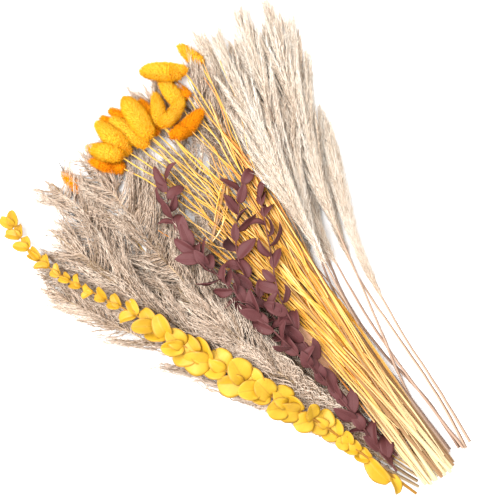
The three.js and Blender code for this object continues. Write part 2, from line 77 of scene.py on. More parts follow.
class Wire:
    """A socket's value. Python's operators add Math nodes, or Vector Math nodes for a vector."""

    def __init__(self, kit, socket, vector=False):
        self.kit = kit
        self.socket = socket
        self.vector = vector

    __add__ = wired("ADD")
    __radd__ = wired("ADD", swapped=True)
    __sub__ = wired("SUBTRACT")
    __rsub__ = wired("SUBTRACT", swapped=True)
    __mul__ = wired("MULTIPLY")
    __rmul__ = wired("MULTIPLY", swapped=True)
    __truediv__ = wired("DIVIDE")
    __rtruediv__ = wired("DIVIDE", swapped=True)
    __pow__ = wired("POWER")
    __gt__ = wired("GREATER_THAN")
    __lt__ = wired("LESS_THAN")


def is_vector(value):
    return isinstance(value, Wire) and value.vector


class Kit:
    """Adds nodes to one tree."""

    def __init__(self, tree):
        self.tree = tree
        tree.nodes.clear()

    def add(self, kind, settings=None, sockets=None):
        """Makes a node of this type: its settings first, then its sockets' values or links."""
        node = self.tree.nodes.new(kind)
        for name, value in (settings or {}).items():
            if name == "stops":
                self.set_stops(node.color_ramp.elements, value)
            else:
                setattr(node, name, value)
        for name, value in (sockets or {}).items():
            self.put(node.inputs[name], value)
        return node

    def set_stops(self, elements, stops):
        while len(elements) < len(stops):
            elements.new(1.0)
        for element, (position, colour) in zip(elements, stops):
            element.position = position
            element.color = (*colour[:3], 1.0)

    def put(self, socket, value):
        if isinstance(value, Wire):
            self.tree.links.new(value.socket, socket)
        elif isinstance(value, bpy.types.NodeSocket):
            self.tree.links.new(value, socket)
        else:
            socket.default_value = value

    def calc(self, operation, *values):
        """One Math or Vector Math node on these values."""
        if not any(is_vector(value) for value in values):
            node = self.add("ShaderNodeMath", {"operation": operation}, dict(enumerate(values)))
            return Wire(self, node.outputs[0])
        if operation == "MULTIPLY" and not all(is_vector(value) for value in values):
            way, size = values if is_vector(values[0]) else values[::-1]
            sockets = {0: way, "Scale": size}
            node = self.add("ShaderNodeVectorMath", {"operation": "SCALE"}, sockets)
        else:
            node = self.add("ShaderNodeVectorMath", {"operation": operation}, dict(enumerate(values)))
        return Wire(self, node.outputs[0], vector=True)

    def sine(self, value):
        return self.calc("SINE", value)

    def cosine(self, value):
        return self.calc("COSINE", value)

    def highest(self, one, other):
        return self.calc("MAXIMUM", one, other)

    def lowest(self, one, other):
        return self.calc("MINIMUM", one, other)

    def point(self, x, y, z):
        return Wire(self, self.add("ShaderNodeCombineXYZ", {}, {0: x, 1: y, 2: z}).outputs[0], vector=True)

    def parts(self, way):
        node = self.add("ShaderNodeSeparateXYZ", {}, {0: way})
        return [Wire(self, socket) for socket in node.outputs]

    def noise(self, place, scale, detail=2.0):
        """A noise's value, from about 0.2 to 0.8, and its colour as a vector."""
        sockets = {"Vector": place, "Scale": scale, "Detail": detail}
        node = self.add("ShaderNodeTexNoise", {}, sockets)
        return Wire(self, node.outputs[0]), Wire(self, node.outputs[1], vector=True)


class ShapeKit(Kit):
    """Adds nodes to a Geometry Nodes tree, whose named inputs are in self.given."""

    def __init__(self, name, inputs):
        tree = bpy.data.node_groups.new(name, "GeometryNodeTree")
        tree.is_modifier = True
        super().__init__(tree)
        sides = tree.interface
        sides.new_socket(name="Geometry", in_out="INPUT", socket_type="NodeSocketGeometry")
        for label, kind in inputs:
            sides.new_socket(name=label, in_out="INPUT", socket_type=f"NodeSocket{kind}")
        sides.new_socket(name="Geometry", in_out="OUTPUT", socket_type="NodeSocketGeometry")
        self.given = {socket.name: Wire(self, socket) for socket in self.add("NodeGroupInput").outputs}

    def made(self, kind, settings=None, sockets=None, output=0, vector=False):
        return Wire(self, self.add(kind, settings, sockets).outputs[output], vector)

    def finish(self, shape, smooth=True):
        """Ends the tree in Realize Instances, Set Shade Smooth and Set Material."""
        real = self.made("GeometryNodeRealizeInstances", {}, {0: shape})
        smooth = self.made("GeometryNodeSetShadeSmooth", {}, {0: real, "Shade Smooth": smooth})
        sockets = {0: smooth, "Material": self.given["Material"]}
        self.add("NodeGroupOutput", {}, {0: self.made("GeometryNodeSetMaterial", {}, sockets)})
        return self.tree

    def named(self, name, kind="FLOAT"):
        sockets = {"Name": name}
        settings = {"data_type": kind}
        return self.made("GeometryNodeInputNamedAttribute", settings, sockets, vector=kind != "FLOAT")

    def store(self, shape, name, value, kind="FLOAT", domain="POINT"):
        settings = {"data_type": kind, "domain": domain}
        sockets = {0: shape, "Name": name, "Value": value}
        return self.made("GeometryNodeStoreNamedAttribute", settings, sockets)

    def random(self, low, high, seed, step=0):
        """A different number for each point."""
        sockets = {"Seed": seed + step if isinstance(seed, Wire) else seed}
        node = self.add("FunctionNodeRandomValue", {"data_type": "FLOAT"}, sockets)
        self.put(node.inputs[2], low)
        self.put(node.inputs[3], high)
        return Wire(self, node.outputs[1])

    def place(self):
        return self.made("GeometryNodeInputPosition", vector=True)

    def index(self):
        return self.made("GeometryNodeInputIndex")

    def join(self, *shapes):
        node = self.add("GeometryNodeJoinGeometry")
        for shape in reversed(shapes):
            self.put(node.inputs[0], shape)
        return Wire(self, node.outputs[0])

    def split(self, shape, chosen):
        """The points that are chosen, and the rest."""
        sockets = {0: shape, "Selection": chosen}
        node = self.add("GeometryNodeSeparateGeometry", {"domain": "POINT"}, sockets)
        return Wire(self, node.outputs[0]), Wire(self, node.outputs[1])

    def tubes(self, chains, sides):
        """Round tapered strands along edge chains, as thick as their girth says."""
        line = self.made("GeometryNodeMeshToCurve", {}, {0: chains})
        ring = self.made("GeometryNodeCurvePrimitiveCircle", {}, {"Resolution": sides, "Radius": 1.0})
        ring = self.store(ring, "edge", self.index() * (EDGE_STEP * 3) / sides)
        sockets = {"Curve": line, "Profile Curve": ring, "Scale": self.named("girth"), "Fill Caps": True}
        return self.made("GeometryNodeCurveToMesh", {}, sockets)

    def needle(self):
        """A closed needle, one long and one in radius, that knows how far along it each point is."""
        sockets = {"Vertices": 3, "Radius Top": 0.0, "Radius Bottom": 1.0, "Depth": 1.0}
        cone = self.made("GeometryNodeMeshCone", {"fill_type": "NGON"}, sockets)
        cone = self.store(cone, "hair_share", self.parts(self.place())[2])
        return self.store(cone, "edge", self.index() * EDGE_STEP)

    def grown(self, points, turn, thickness, length):
        """Needles on these points, as real faces."""
        size = self.point(thickness, thickness, length)
        sockets = {0: points, "Instance": self.needle(), "Rotation": turn, "Scale": size}
        needles = self.made("GeometryNodeInstanceOnPoints", {}, sockets)
        real = self.made("GeometryNodeRealizeInstances", {}, {0: needles})
        return self.store(real, "share", self.named("hair_share"))

    def mapped(self, shape):
        """Stores each point's tone and share, and the same two numbers as the bake's map."""
        tone = self.lowest(self.highest(self.named("tone"), 0.0), 1.0) * TONE_ROOM + self.named("edge")
        shape = self.store(shape, "tone", tone)
        share = self.lowest(self.highest(self.named("share"), 0.0), 1.0)
        shape = self.store(shape, "share", share)
        both = self.point(self.named("tone"), self.named("share"), 0.0)
        return self.store(shape, BAKE_MAP, both, "FLOAT2", "CORNER")

    def over_floor(self, shape):
        x, y, z = self.parts(self.place())
        lifted = self.point(x, y, self.highest(z, FLOOR_GAP))
        return self.made("GeometryNodeSetPosition", {}, {0: shape, "Position": lifted})


def fluff_tree():
    """Turns edge chains into tapered strands, and sets fine hairs along the hairy ones."""
    kit = ShapeKit("Fluff", [
        ("Hair Length", "Float"), ("Hair Thickness", "Float"), ("Hair Spacing", "Float"),
        ("Hair Lean", "Float"), ("Wander", "Float"), ("Wander Scale", "Float"),
        ("Strand Sides", "Int"), ("Seed", "Int"), ("Material", "Material"),
    ])
    given = kit.given
    seed = given["Seed"]
    strands = kit.tubes(given["Geometry"], given["Strand Sides"])
    hairy, _ = kit.split(given["Geometry"], kit.named("hairy") > 0.05)
    line = kit.made("GeometryNodeMeshToCurve", {}, {0: hairy})
    sockets = {0: line, "Length": given["Hair Spacing"]}
    spots = kit.add("GeometryNodeCurveToPoints", {"mode": "LENGTH"}, sockets)
    tone = kit.named("tone") + kit.random(-0.3, 0.3, seed)
    points = kit.store(spots.outputs[0], "tone", tone)
    around = kit.random(0.0, math.tau, seed, 1)
    turn = kit.add("FunctionNodeAxisAngleToRotation", {}, {0: (0, 0, 1), 1: around})
    lean = kit.add("FunctionNodeAxisAngleToRotation", {}, {
        0: (1, 0, 0),
        1: given["Hair Lean"] * kit.random(0.4, 1.6, seed, 2),
    })
    local = {"rotation_space": "LOCAL"}
    way = kit.made("FunctionNodeRotateRotation", local, {0: spots.outputs["Rotation"], 1: turn.outputs[0]})
    way = kit.made("FunctionNodeRotateRotation", local, {0: way, 1: lean.outputs[0]})
    length = given["Hair Length"] * kit.named("hairy") * kit.random(0.55, 1.2, seed, 3)
    hairs = kit.grown(points, way, given["Hair Thickness"] * kit.random(0.35, 1.2, seed, 4), length)
    whole = kit.join(strands, hairs)
    _, sway = kit.noise(kit.place(), given["Wander Scale"], 3.0)
    shift = (sway - (0.5, 0.5, 0.5)) * given["Wander"]
    whole = kit.made("GeometryNodeSetPosition", {}, {0: whole, "Offset": shift})
    return kit.finish(kit.mapped(kit.over_floor(whole)))


def fuzz_tree():
    """Turns a chain into a stem, and covers a closed head with short fuzz that lies towards its tip."""
    kit = ShapeKit("Fuzz", [
        ("Fuzz Length", "Float"), ("Fuzz Thickness", "Float"), ("Fuzz Density", "Float"),
        ("Fuzz Lay", "Float"), ("Speckles", "Float"), ("Seed", "Int"), ("Material", "Material"),
    ])
    given = kit.given
    seed = given["Seed"]
    chains, head = kit.split(given["Geometry"], kit.named("stem") > 0.5)
    stem = kit.tubes(chains, 6)
    sockets = {0: head, "Density": given["Fuzz Density"], "Seed": seed}
    spots = kit.add("GeometryNodeDistributePointsOnFaces", {}, sockets)
    normal = Wire(kit, spots.outputs["Normal"], vector=True)
    spread = kit.point(*[kit.random(-0.3, 0.3, seed, step) for step in (1, 2, 3)])
    lay = given["Fuzz Lay"]
    way = normal * (1.0 - lay) + kit.named("tipward", "FLOAT_VECTOR") * lay + spread
    turn = kit.made("FunctionNodeAlignRotationToVector", {"axis": "Z"}, {"Vector": way})
    dark = kit.random(0.0, 1.0, seed, 4) < given["Speckles"]
    # Painted light: bristles that face up get a paler tone, and those facing sideways or down a deeper, more
    # orange one.
    lit = (kit.parts(normal)[2] - 0.4) * 0.3
    tone = (kit.named("tone") + lit + kit.random(-0.14, 0.14, seed, 5)) * (1.0 - dark)
    points = kit.store(spots.outputs[0], "tone", tone)
    length = given["Fuzz Length"] * kit.random(0.6, 1.15, seed, 6)
    hairs = kit.grown(points, turn, given["Fuzz Thickness"] * kit.random(0.7, 1.2, seed, 7), length)
    return kit.finish(kit.mapped(kit.over_floor(kit.join(stem, head, hairs))))


PROFILE_POINTS = 9  # along the outer side of a folded blade's section, and as many along its inner side


def blade_tree():
    """Turns coarse chains into folded blades or split straws with a wall, and fine ones into fibres."""
    inputs = [("Opening", "Float"), ("Wall", "Float"), ("Flatness", "Float"), ("Material", "Material")]
    kit = ShapeKit("Blades", inputs)
    given = kit.given
    fine, coarse = kit.split(given["Geometry"], kit.named("fine") > 0.5)
    fibres = kit.store(kit.tubes(fine, 5), "around", kit.named("edge"))
    last = PROFILE_POINTS - 1
    ring = kit.made("GeometryNodeMeshCircle", {}, {"Vertices": 2 * PROFILE_POINTS, "Radius": 1.0})
    index = kit.index()
    inner = index > last + 0.5
    along = kit.highest(0.0, index / last - inner * ((index * 2.0 - (2 * PROFILE_POINTS - 1)) / last))
    angle = (along - 0.5) * (math.tau - given["Opening"]) - math.pi / 2
    radius = 1.0 - inner * given["Wall"]
    section = kit.point(kit.cosine(angle) * radius, kit.sine(angle) * radius * given["Flatness"], 0.0)
    ring = kit.made("GeometryNodeSetPosition", {}, {0: ring, "Position": section})
    ring = kit.made("GeometryNodeMeshToCurve", {}, {0: ring})
    ring = kit.store(ring, "around", along)
    line = kit.made("GeometryNodeMeshToCurve", {}, {0: coarse})
    line = kit.made("GeometryNodeSetCurveNormal", {"mode": "Z_UP"}, {0: line})
    line = kit.made("GeometryNodeSetCurveTilt", {}, {0: line, "Tilt": kit.named("roll")})
    sockets = {"Curve": line, "Profile Curve": ring, "Scale": kit.named("girth"), "Fill Caps": True}
    blades = kit.made("GeometryNodeCurveToMesh", {}, sockets)
    return kit.finish(kit.over_floor(kit.join(blades, fibres)), smooth=False)


def leaf_tree():
    """Sets a leaf on each point, shaped by the point's own numbers, and turns chains into stems."""
    kit = ShapeKit("Leaves", [
        ("Thickness", "Float"), ("Roundness", "Float"), ("Bluntness", "Float"),
        ("Cells Along", "Int"), ("Cells Across", "Int"), ("Material", "Material"),
    ])
    given = kit.given
    chains, feet = kit.split(given["Geometry"], kit.named("stem") > 0.5)
    stems = kit.tubes(chains, 8)
    feet = kit.store(feet, "foot", kit.place(), "FLOAT_VECTOR")
    sheet = kit.made("GeometryNodeMeshCube", {}, {
        "Size": (1, 2, 2), "Vertices X": given["Cells Along"], "Vertices Y": given["Cells Across"],
        "Vertices Z": 2,
    })
    sheet = kit.store(sheet, "leaf_place", kit.place(), "FLOAT_VECTOR")
    feet = kit.made("GeometryNodeMeshToPoints", {}, {0: feet})
    leaves = kit.made("GeometryNodeInstanceOnPoints", {}, {0: feet, "Instance": sheet})
    leaves = kit.made("GeometryNodeRealizeInstances", {}, {0: leaves})
    middle, across, side = kit.parts(kit.named("leaf_place", "FLOAT_VECTOR"))
    along = middle + 0.5
    outline = kit.highest(kit.sine(along ** given["Roundness"] * math.pi), 0.0) ** given["Bluntness"]
    stalk = 0.06 * kit.highest(1.0 - along * 3.0, 0.0)
    half = kit.named("width") * 0.5 * outline + kit.named("width") * stalk
    reach = across * half
    fold = kit.named("fold")
    wave = kit.sine(along * 9.0 + kit.named("tone") * 40.0) * across * across * 0.05
    sideways = reach * kit.cosine(fold)
    rise = kit.calc("ABSOLUTE", reach) * kit.sine(fold) + kit.named("width") * wave * outline
    rise = rise + side * given["Thickness"] * 0.5 * kit.lowest(outline * 4.0 + 0.05, 1.0)
    bend = kit.named("curl") * along
    arm = kit.named("length") / kit.named("curl")
    forward = arm * kit.sine(bend) - rise * kit.sine(bend)
    height = arm * (1.0 - kit.cosine(bend)) + rise * kit.cosine(bend)
    ahead = kit.named("ahead", "FLOAT_VECTOR")
    over = kit.named("over", "FLOAT_VECTOR")
    aside = kit.calc("CROSS_PRODUCT", over, ahead)
    place = kit.named("foot", "FLOAT_VECTOR") + ahead * forward + aside * sideways + over * height
    leaves = kit.made("GeometryNodeSetPosition", {}, {0: leaves, "Position": place})
    leaves = kit.store(leaves, "blade", kit.point(along, across, side), "FLOAT_VECTOR")
    leaves = kit.made("GeometryNodeMergeByDistance", {}, {0: leaves, "Distance": 0.00002})
    return kit.finish(kit.over_floor(kit.join(leaves, stems)))


class Paint(Kit):
    """A new material, with its Principled shader ready to take what the nodes give."""

    def __init__(self, name, **shader):
        self.material = bpy.data.materials.new(name)
        self.material.use_nodes = True
        super().__init__(self.material.node_tree)
        self.shader = self.add("ShaderNodeBsdfPrincipled", {}, shader)
        self.add("ShaderNodeOutputMaterial", {}, {0: self.shader.outputs[0]})

    def attribute(self, name):
        return Wire(self, self.add("ShaderNodeAttribute", {"attribute_name": name}).outputs["Fac"])

    def attribute_place(self, name):
        node = self.add("ShaderNodeAttribute", {"attribute_name": name})
        return Wire(self, node.outputs["Vector"], vector=True)

    def object_place(self):
        return Wire(self, self.add("ShaderNodeTexCoord").outputs["Object"], vector=True)

    def ramp(self, value, stops):
        return self.add("ShaderNodeValToRGB", {"stops": stops}, {0: value}).outputs[0]

    def ramp_value(self, value, low, high):
        """0 under low, 1 over high, and smooth between them."""
        sockets = {"Value": value, "From Min": low, "From Max": high}
        settings = {"interpolation_type": "SMOOTHSTEP"}
        return Wire(self, self.add("ShaderNodeMapRange", settings, sockets).outputs[0])

    def mix(self, share, one, other, way="MIX"):
        node = self.add("ShaderNodeMix", {"data_type": "RGBA", "blend_type": way, "clamp_factor": True})
        self.put(node.inputs["Factor"], share)
        self.put(node.inputs[6], one)
        self.put(node.inputs[7], other)
        return node.outputs[2]

    def bump(self, height, distance, strength=1.0):
        sockets = {"Height": height, "Distance": distance, "Strength": strength}
        self.put(self.shader.inputs["Normal"], self.add("ShaderNodeBump", {}, sockets).outputs[0])

    def base(self, colour):
        self.put(self.shader.inputs["Base Color"], colour)


def tint(red, green, blue):
    """A colour given in the usual 0 to 255 scale, as Blender's linear numbers."""
    parts = [value / 255 for value in (red, green, blue)]
    linear = [part / 12.92 if part <= 0.04045 else ((part + 0.055) / 1.055) ** 2.4 for part in parts]
    return (*linear, 1.0)


# ---- Lines through the solids -------------------------------------------------------------------


class Line:
    """A smooth line through points, measured along its length and carried straight on past its ends."""

    def __init__(self, points, widths=None, parts=12):
        points = np.asarray(points, float)
        rounds = [points[0] * 2 - points[1], *points, points[-1] * 2 - points[-2]]
        places = []
        for a, b, c, d in zip(rounds, rounds[1:], rounds[2:], rounds[3:]):
            for k in range(parts):
                t = k / parts
                places.append(0.5 * (2 * b + (c - a) * t + (2 * a - 5 * b + 4 * c - d) * t**2
                                     + (3 * b - a - 3 * c + d) * t**3))
        places.append(points[-1])
        self.places = np.array(places)
        steps = np.linalg.norm(np.diff(self.places, axis=0), axis=1)
        self.marks = np.concatenate([[0.0], np.cumsum(steps)])
        self.length = self.marks[-1]
        self.knots = self.marks[::parts]
        self.widths = widths

    def at(self, distance):
        distance = np.atleast_1d(np.asarray(distance, float))
        found = np.stack([np.interp(distance, self.marks, self.places[:, k]) for k in range(3)], 1)
        over = np.maximum(distance - self.length, 0)[:, None]
        under = np.minimum(distance, 0)[:, None]
        end = self.places[-1] - self.places[-3]
        start = self.places[2] - self.places[0]
        return found + over * end / np.linalg.norm(end) + under * start / np.linalg.norm(start)

    def ahead(self, distance):
        reach = 0.003
        distance = np.atleast_1d(np.asarray(distance, float))
        way = self.at(distance + reach) - self.at(distance - reach)
        return way / np.linalg.norm(way, axis=1)[:, None]

    def sides(self, distance):
        """Unit ways to the right and up, across the line."""
        ahead = self.ahead(distance)
        right = np.cross(ahead, UP)
        right /= np.linalg.norm(right, axis=1)[:, None]
        return right, np.cross(right, ahead)

    def width(self, distance):
        return np.interp(distance, self.knots, self.widths)


def solid_line(name):
    """The line through a bent solid's rings, from its cut end to its tip, with their half-widths."""
    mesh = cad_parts[name].data
    found = {}
    corner = [found.setdefault(tuple(round(c, 7) for c in v.co), len(found)) for v in mesh.vertices]
    places = np.array(list(found))
    near = [set() for _ in found]
    for face in mesh.polygons:
        ring = [corner[v] for v in face.vertices]
        for a in ring:
            near[a].update(b for b in ring if b != a)
    low = [i for i in range(len(places)) if places[i][1] < places[:, 1].mean()]
    pole = min(low, key=lambda i: np.linalg.norm(places[list(near[i])].mean(0) - places[i]))
    rings, seen = [{pole}], {pole}
    while rings[-1]:
        rings.append({b for a in rings[-1] for b in near[a]} - seen)
        seen |= rings[-1]
    rings = [places[list(ring)] for ring in rings[1:-1] if len(ring) > 2]
    centres = [ring.mean(0) for ring in rings]
    widths = [np.linalg.norm(ring - centre, axis=1).max() for ring, centre in zip(rings, centres)]
    return Line(centres, np.array(widths))


BRANCH_RINGS = 40  # places along a branch where its height is read
STEM_DEPTH = 0.0014  # a stem's middle over its solid's lowest side, where leaves lie on top of it


def branch_line(name, route, lift=0.0):
    """The line of a leafy branch: its route in plan, at its solid stem's heights or lifted over them."""
    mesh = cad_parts[name].data
    tree = BVHTree.FromPolygons([v.co for v in mesh.vertices], [tuple(p.vertices) for p in mesh.polygons])
    plan = Line([fan_place(across, along) for across, along in route])
    spots = plan.at(np.linspace(0.001, plan.length - 0.001, BRANCH_RINGS))
    heights = []
    for x, y, _ in spots:
        hit = tree.ray_cast(Vector((x, y, -0.01)), Vector((0, 0, 1)))[0]
        top = tree.ray_cast(Vector((x, y, 0.2)), Vector((0, 0, -1)))[0]
        heights.append(min((hit.z + top.z) / 2, hit.z + STEM_DEPTH) if hit and top else np.nan)
    heights = np.array(heights)
    known = ~np.isnan(heights)
    heights = np.interp(np.arange(len(heights)), np.flatnonzero(known), heights[known])
    soft = np.convolve(np.pad(heights, 2, "edge"), np.ones(5) / 5, "valid")
    soft += lift * smooth_step(np.linspace(0, 1, len(soft)), 0.2, 0.45)
    return Line(np.column_stack([spots[:, :2], soft]), parts=4)


# The bundle's fan, as the solids have it. A place across it is -1 at one edge and 1 at the other.
BUNDLE_LENGTH = 0.440
FOOT_WIDTH = 0.072
HEAD_WIDTH = 0.316
SIDE_BOW = 0.024
FAN_POWER = 1.3
FAN_ORIGIN = np.array([0.02144, -0.22775, 0.0])  # the fan's start, from the middle of the bundle's box


def fan_place(across, along):
    """A place in the fan, in the frame of the bundle."""
    up = max(along, 0)
    half = FOOT_WIDTH / 2 + (HEAD_WIDTH - FOOT_WIDTH) / 2 * up**FAN_POWER
    place = np.array([across * half - SIDE_BOW * math.sin(math.pi * up), along * BUNDLE_LENGTH, 0.0])
    return place + FAN_ORIGIN


class Chains:
    """Edge chains and loose points, with a number of each kind on every point."""

    def __init__(self, *numbers):
        self.places = []
        self.edges = []
        self.numbers = {name: [] for name in numbers}

    def add(self, places, chained=True, **numbers):
        first = sum(len(part) for part in self.places)
        count = len(places)
        self.places.append(np.asarray(places, float))
        if chained:
            self.edges += [(first + k, first + k + 1) for k in range(count - 1)]
        for name, store in self.numbers.items():
            value = np.asarray(numbers.get(name, 0.0), float)
            store.append(np.broadcast_to(value, (count, *value.shape[1:]) if value.ndim > 1 else (count,)))

    def make(self, name):
        mesh = bpy.data.meshes.new(name)
        mesh.from_pydata(np.concatenate(self.places).tolist(), self.edges, [])
        for label, parts in self.numbers.items():
            set_numbers(mesh, label, np.concatenate(parts))
        return put_object(name, mesh)


def set_numbers(mesh, label, values):
    """Puts a number, or a vector, on each of the mesh's points."""
    values = np.asarray(values, np.float32)
    kind, key = ("FLOAT_VECTOR", "vector") if values.ndim > 1 else ("FLOAT", "value")
    mesh.attributes.new(label, kind, "POINT").data.foreach_set(key, values.ravel())


def put_object(name, mesh):
    made = bpy.data.objects.new(name, mesh)
    bpy.context.scene.collection.objects.link(made)
    return made


def shaped(made, tree, node, slot, **inputs):
    """Runs a tree on an object, keeps the result as its plain mesh, and puts it in the frame."""
    change = made.modifiers.new("shape", "NODES")
    change.node_group = tree
    sockets = {item.name: item.identifier for item in tree.interface.items_tree if item.in_out == "INPUT"}
    for label, value in inputs.items():
        change[sockets[label.replace("_", " ").title()]] = value
    bpy.context.view_layer.update()
    evaluated = made.evaluated_get(bpy.context.evaluated_depsgraph_get())
    mesh = bpy.data.meshes.new_from_object(evaluated)
    if not len(mesh.polygons):
        raise RuntimeError(f"{made.name} came out without faces")
    made.modifiers.clear()
    old = made.data
    made.data = mesh
    bpy.data.meshes.remove(old)
    mesh.name = made.name
    if BAKE_MAP in mesh.uv_layers:
        mesh.uv_layers[BAKE_MAP].active = True
    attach(made, "root")
    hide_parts(node)


def smooth_step(value, low, high):
    """0 under low, 1 over high, and smooth between them."""
    share = np.clip((np.asarray(value, float) - low) / (high - low), 0, 1)
    return share * share * (3 - 2 * share)


# ---- Plumes -------------------------------------------------------------------------------------


def swell(share, look):
    """The plume's half-width at a share of its length, over its fullest."""
    rising = look.foot_swell + (1 - look.foot_swell) * smooth_step(share, 0.0, look.fullest)
    return rising * (1 - look.taper * smooth_step(share, look.taper_from, 1.0))


def plume_chains(line, look, rng):
    """A stem, pointed locks of branchlets that leave it, and wavy strands along its lower part."""
    chains = Chains("girth", "tone", "share", "hairy")
    marks = np.linspace(0, line.length, STEM_RINGS)
    girth = np.interp(marks, [0, line.length], [look.stem_radius, STEM_TIP_RADIUS])
    chains.add(line.at(marks), girth=girth, tone=look.stem_tone, share=marks / line.length)
    for _ in range(look.locks):
        add_lock(chains, line, look, rng)
    for _ in range(look.matted):
        add_wavy_strand(chains, line, look, rng)
    return chains


LAST_LOCK = 0.96  # where the highest lock can start, of the plume's length
LOCK_RINGS = 8
STRAND_RINGS = 19
STEM_RINGS = 40
STEM_TIP_RADIUS = 0.0004


def add_lock(chains, line, look, rng):
    """A pointed tuft: branchlets that leave the stem together, bend along it and meet at the tuft's tip."""
    foot = line.length * look.plume_start
    place = LAST_LOCK * rng.random() ** look.crowding
    start = foot + (line.length - foot) * place
    wide = look.plume_radius * swell(place, look) * rng.uniform(0.3, 1.0) ** 0.5
    long = look.branchlet_length * (1 - 0.5 * place) * rng.uniform(0.75, 1.25)
    long = min(long, (line.length + look.overrun - start) * rng.uniform(0.7, 1.0))
    around = rng.uniform(0, math.tau)
    tone = float(np.clip(rng.normal(0.56, 0.15), 0.15, 0.95))
    t = np.linspace(0, 1, LOCK_RINGS)
    for _ in range(look.branchlets):
        begin = start + rng.normal(0, 0.004)
        own = long * rng.uniform(0.65, 1.0)
        right, up = line.sides(begin + own * t)
        out = wide * own / long * t**look.bend
        belly = look.lock_width * rng.uniform(-1, 1) * np.sin(math.pi * t**0.8)
        aside = math.cos(around) * out - math.sin(around) * belly
        above = (math.sin(around) * out + math.cos(around) * belly) * look.flatness
        places = line.at(begin + own * t) + right * aside[:, None] + up * above[:, None]
        hairy = (0.45 + 0.55 * np.sin(math.pi * (0.1 + 0.75 * t))) * (1 - 0.3 * place)
        own_tone = tone + rng.normal(0, 0.08) + 0.2 * (t - 0.5)
        girth = look.branchlet_radius * (1 - 0.7 * t)
        chains.add(places, girth=girth, tone=own_tone, share=t, hairy=hairy)


def add_wavy_strand(chains, line, look, rng):
    """A crimped strand that lies on the lower plume."""
    start = line.length * rng.uniform(look.matted_start, look.matted_end)
    long = rng.uniform(0.03, 0.075)
    t = np.linspace(0, 1, STRAND_RINGS)
    marks = start + long * t
    right, up = line.sides(marks)
    place = np.clip(marks / line.length - look.plume_start, 0, 1)
    turn = rng.uniform(0, math.tau) + rng.normal(0, 0.5) * t
    wide = look.plume_radius * np.maximum(swell(place, look), look.foot_swell) * rng.uniform(0.15, 0.7)
    wide = wide * (0.15 + 0.85 * smooth_step(marks / line.length, 0.04, 0.34))
    deep = look.crimp * rng.uniform(0.5, 1.3)
    wave = deep * np.sin(rng.uniform(2.5, 5) * math.tau * t + rng.uniform(0, 6))
    places = line.at(marks) + right * (np.cos(turn) * wide + wave)[:, None]
    places += up * (np.sin(turn) * wide * look.flatness + wave * 0.4)[:, None]
    girth = look.matted_radius * (0.35 + 0.65 * np.sin(math.pi * (0.1 + 0.8 * t)))
    tone = float(np.clip(rng.normal(0.55, 0.3), 0.12, 1))
    chains.add(places, girth=girth, tone=tone, share=0.3 + 0.6 * t)


def plume_paint(name, root_shade, dark, middle, light, stem_dark, stem_light):
    """Plume colours by tone, with painted shade that darkens each hair towards its root, deep in the plume.
    Tones under 0.1 are the stem's.
    """
    paint = Paint(name, Roughness=0.85)
    paint.put(paint.shader.inputs["Specular IOR Level"], 0.1)
    tone = paint.attribute("tone")
    share = paint.attribute("share")
    stops = [(0.0, stem_dark), (0.08, stem_light), (0.12, dark), (0.5, middle), (0.9, light)]
    colour = paint.ramp(tone, stops)
    # Painted shade: each hair mixes towards the dark colour near its root, where the inside of the plume lies
    # in shade.
    root = root_shade * (1.0 - share) * (tone > 0.11)
    paint.base(paint.mix(root, colour, settings_colour(dark)))
    return paint.material


class Look:
    """The numbers that one kind of plume is grown by."""

    def __init__(self, settings, **numbers):
        self.__dict__.update(numbers)
        for name in settings.bl_rna.properties.keys():
            if name not in ("name", "rna_type"):
                setattr(self, name, getattr(settings, name))


def length_property(label, description, default):
    return FloatProperty(name=label, description=description, default=default,
                         min=0.0, unit="LENGTH", precision=5)


def number_property(label, description, default):
    return IntProperty(name=label, description=description, default=default, min=0)


def share_property(label, description, default):
    return FloatProperty(name=label, description=description, default=default,
                         min=0.0, max=1.0, subtype="FACTOR")


def colour_property(label, description, default):
    return FloatVectorProperty(name=label, description=description, default=default[:3], size=3,
                               min=0.0, max=1.0, subtype="COLOR")


def plume_properties(radius, branchlet, hair, thickness, spacing, counts, flatness, colours):
    """The sizes and colours of one kind of plume, as a group of settings."""
    locks, branchlets, matted = counts
    dark, middle, light = (tint(*colour) for colour in colours)
    return {
        "plume_radius": length_property("Plume Radius", "Half a plume's width at its fullest", radius),
        "branchlet_length": length_property("Branchlet Length", "Length of the lowest branchlets", branchlet),
        "hair_length": length_property("Hair Length", "Length of the hairs on a branchlet", hair),
        "hair_thickness": length_property("Hair Thickness", "Half a hair's thickness at its root", thickness),
        "hair_spacing": length_property("Hair Spacing", "Distance between hairs on a branchlet", spacing),
        "locks": number_property("Locks", "Locks of branchlets on a plume", locks),
        "branchlets": number_property("Branchlets", "Branchlets in a lock", branchlets),
        "matted": number_property("Matted Strands", "Wavy strands along the lower plume", matted),
        "flatness": share_property("Flatness", "A lying plume's thickness over its width", flatness),
        "dark": colour_property("Dark", "Colour of the deepest strands", dark),
        "middle": colour_property("Middle", "Colour of most strands", middle),
        "light": colour_property("Light", "Colour of the palest strands", light),
    }


class BOUQUET_PG_pampas(bpy.types.PropertyGroup):
    __annotations__ = plume_properties(
        radius=0.036, branchlet=0.058, hair=0.0115, thickness=0.0004, spacing=0.0016,
        counts=(86, 5, 200), flatness=0.34, colours=((122, 98, 76), (222, 198, 177), (248, 232, 214)))


class BOUQUET_PG_reeds(bpy.types.PropertyGroup):
    __annotations__ = plume_properties(
        radius=0.025, branchlet=0.085, hair=0.0105, thickness=0.00028, spacing=0.0012,
        counts=(74, 4, 0), flatness=0.42, colours=((196, 172, 146), (241, 225, 207), (254, 248, 238)))


# How many of each the bundle holds, and the seeds that their numbers are added to.
PAMPAS_STEMS, PAMPAS_SEED = 9, 100
REED_STEMS, REED_SEED = 8, 200
BUNNY_TAILS, BUNNY_SEED = 16, 300
STRAWS, STRAW_SEED = 21, 400
BURGUNDY_SEED = 500  # for each of the three branches
EUCALYPTUS_SEED = 600

WANDER_SCALE = 60.0  # of the noise that strands wander by

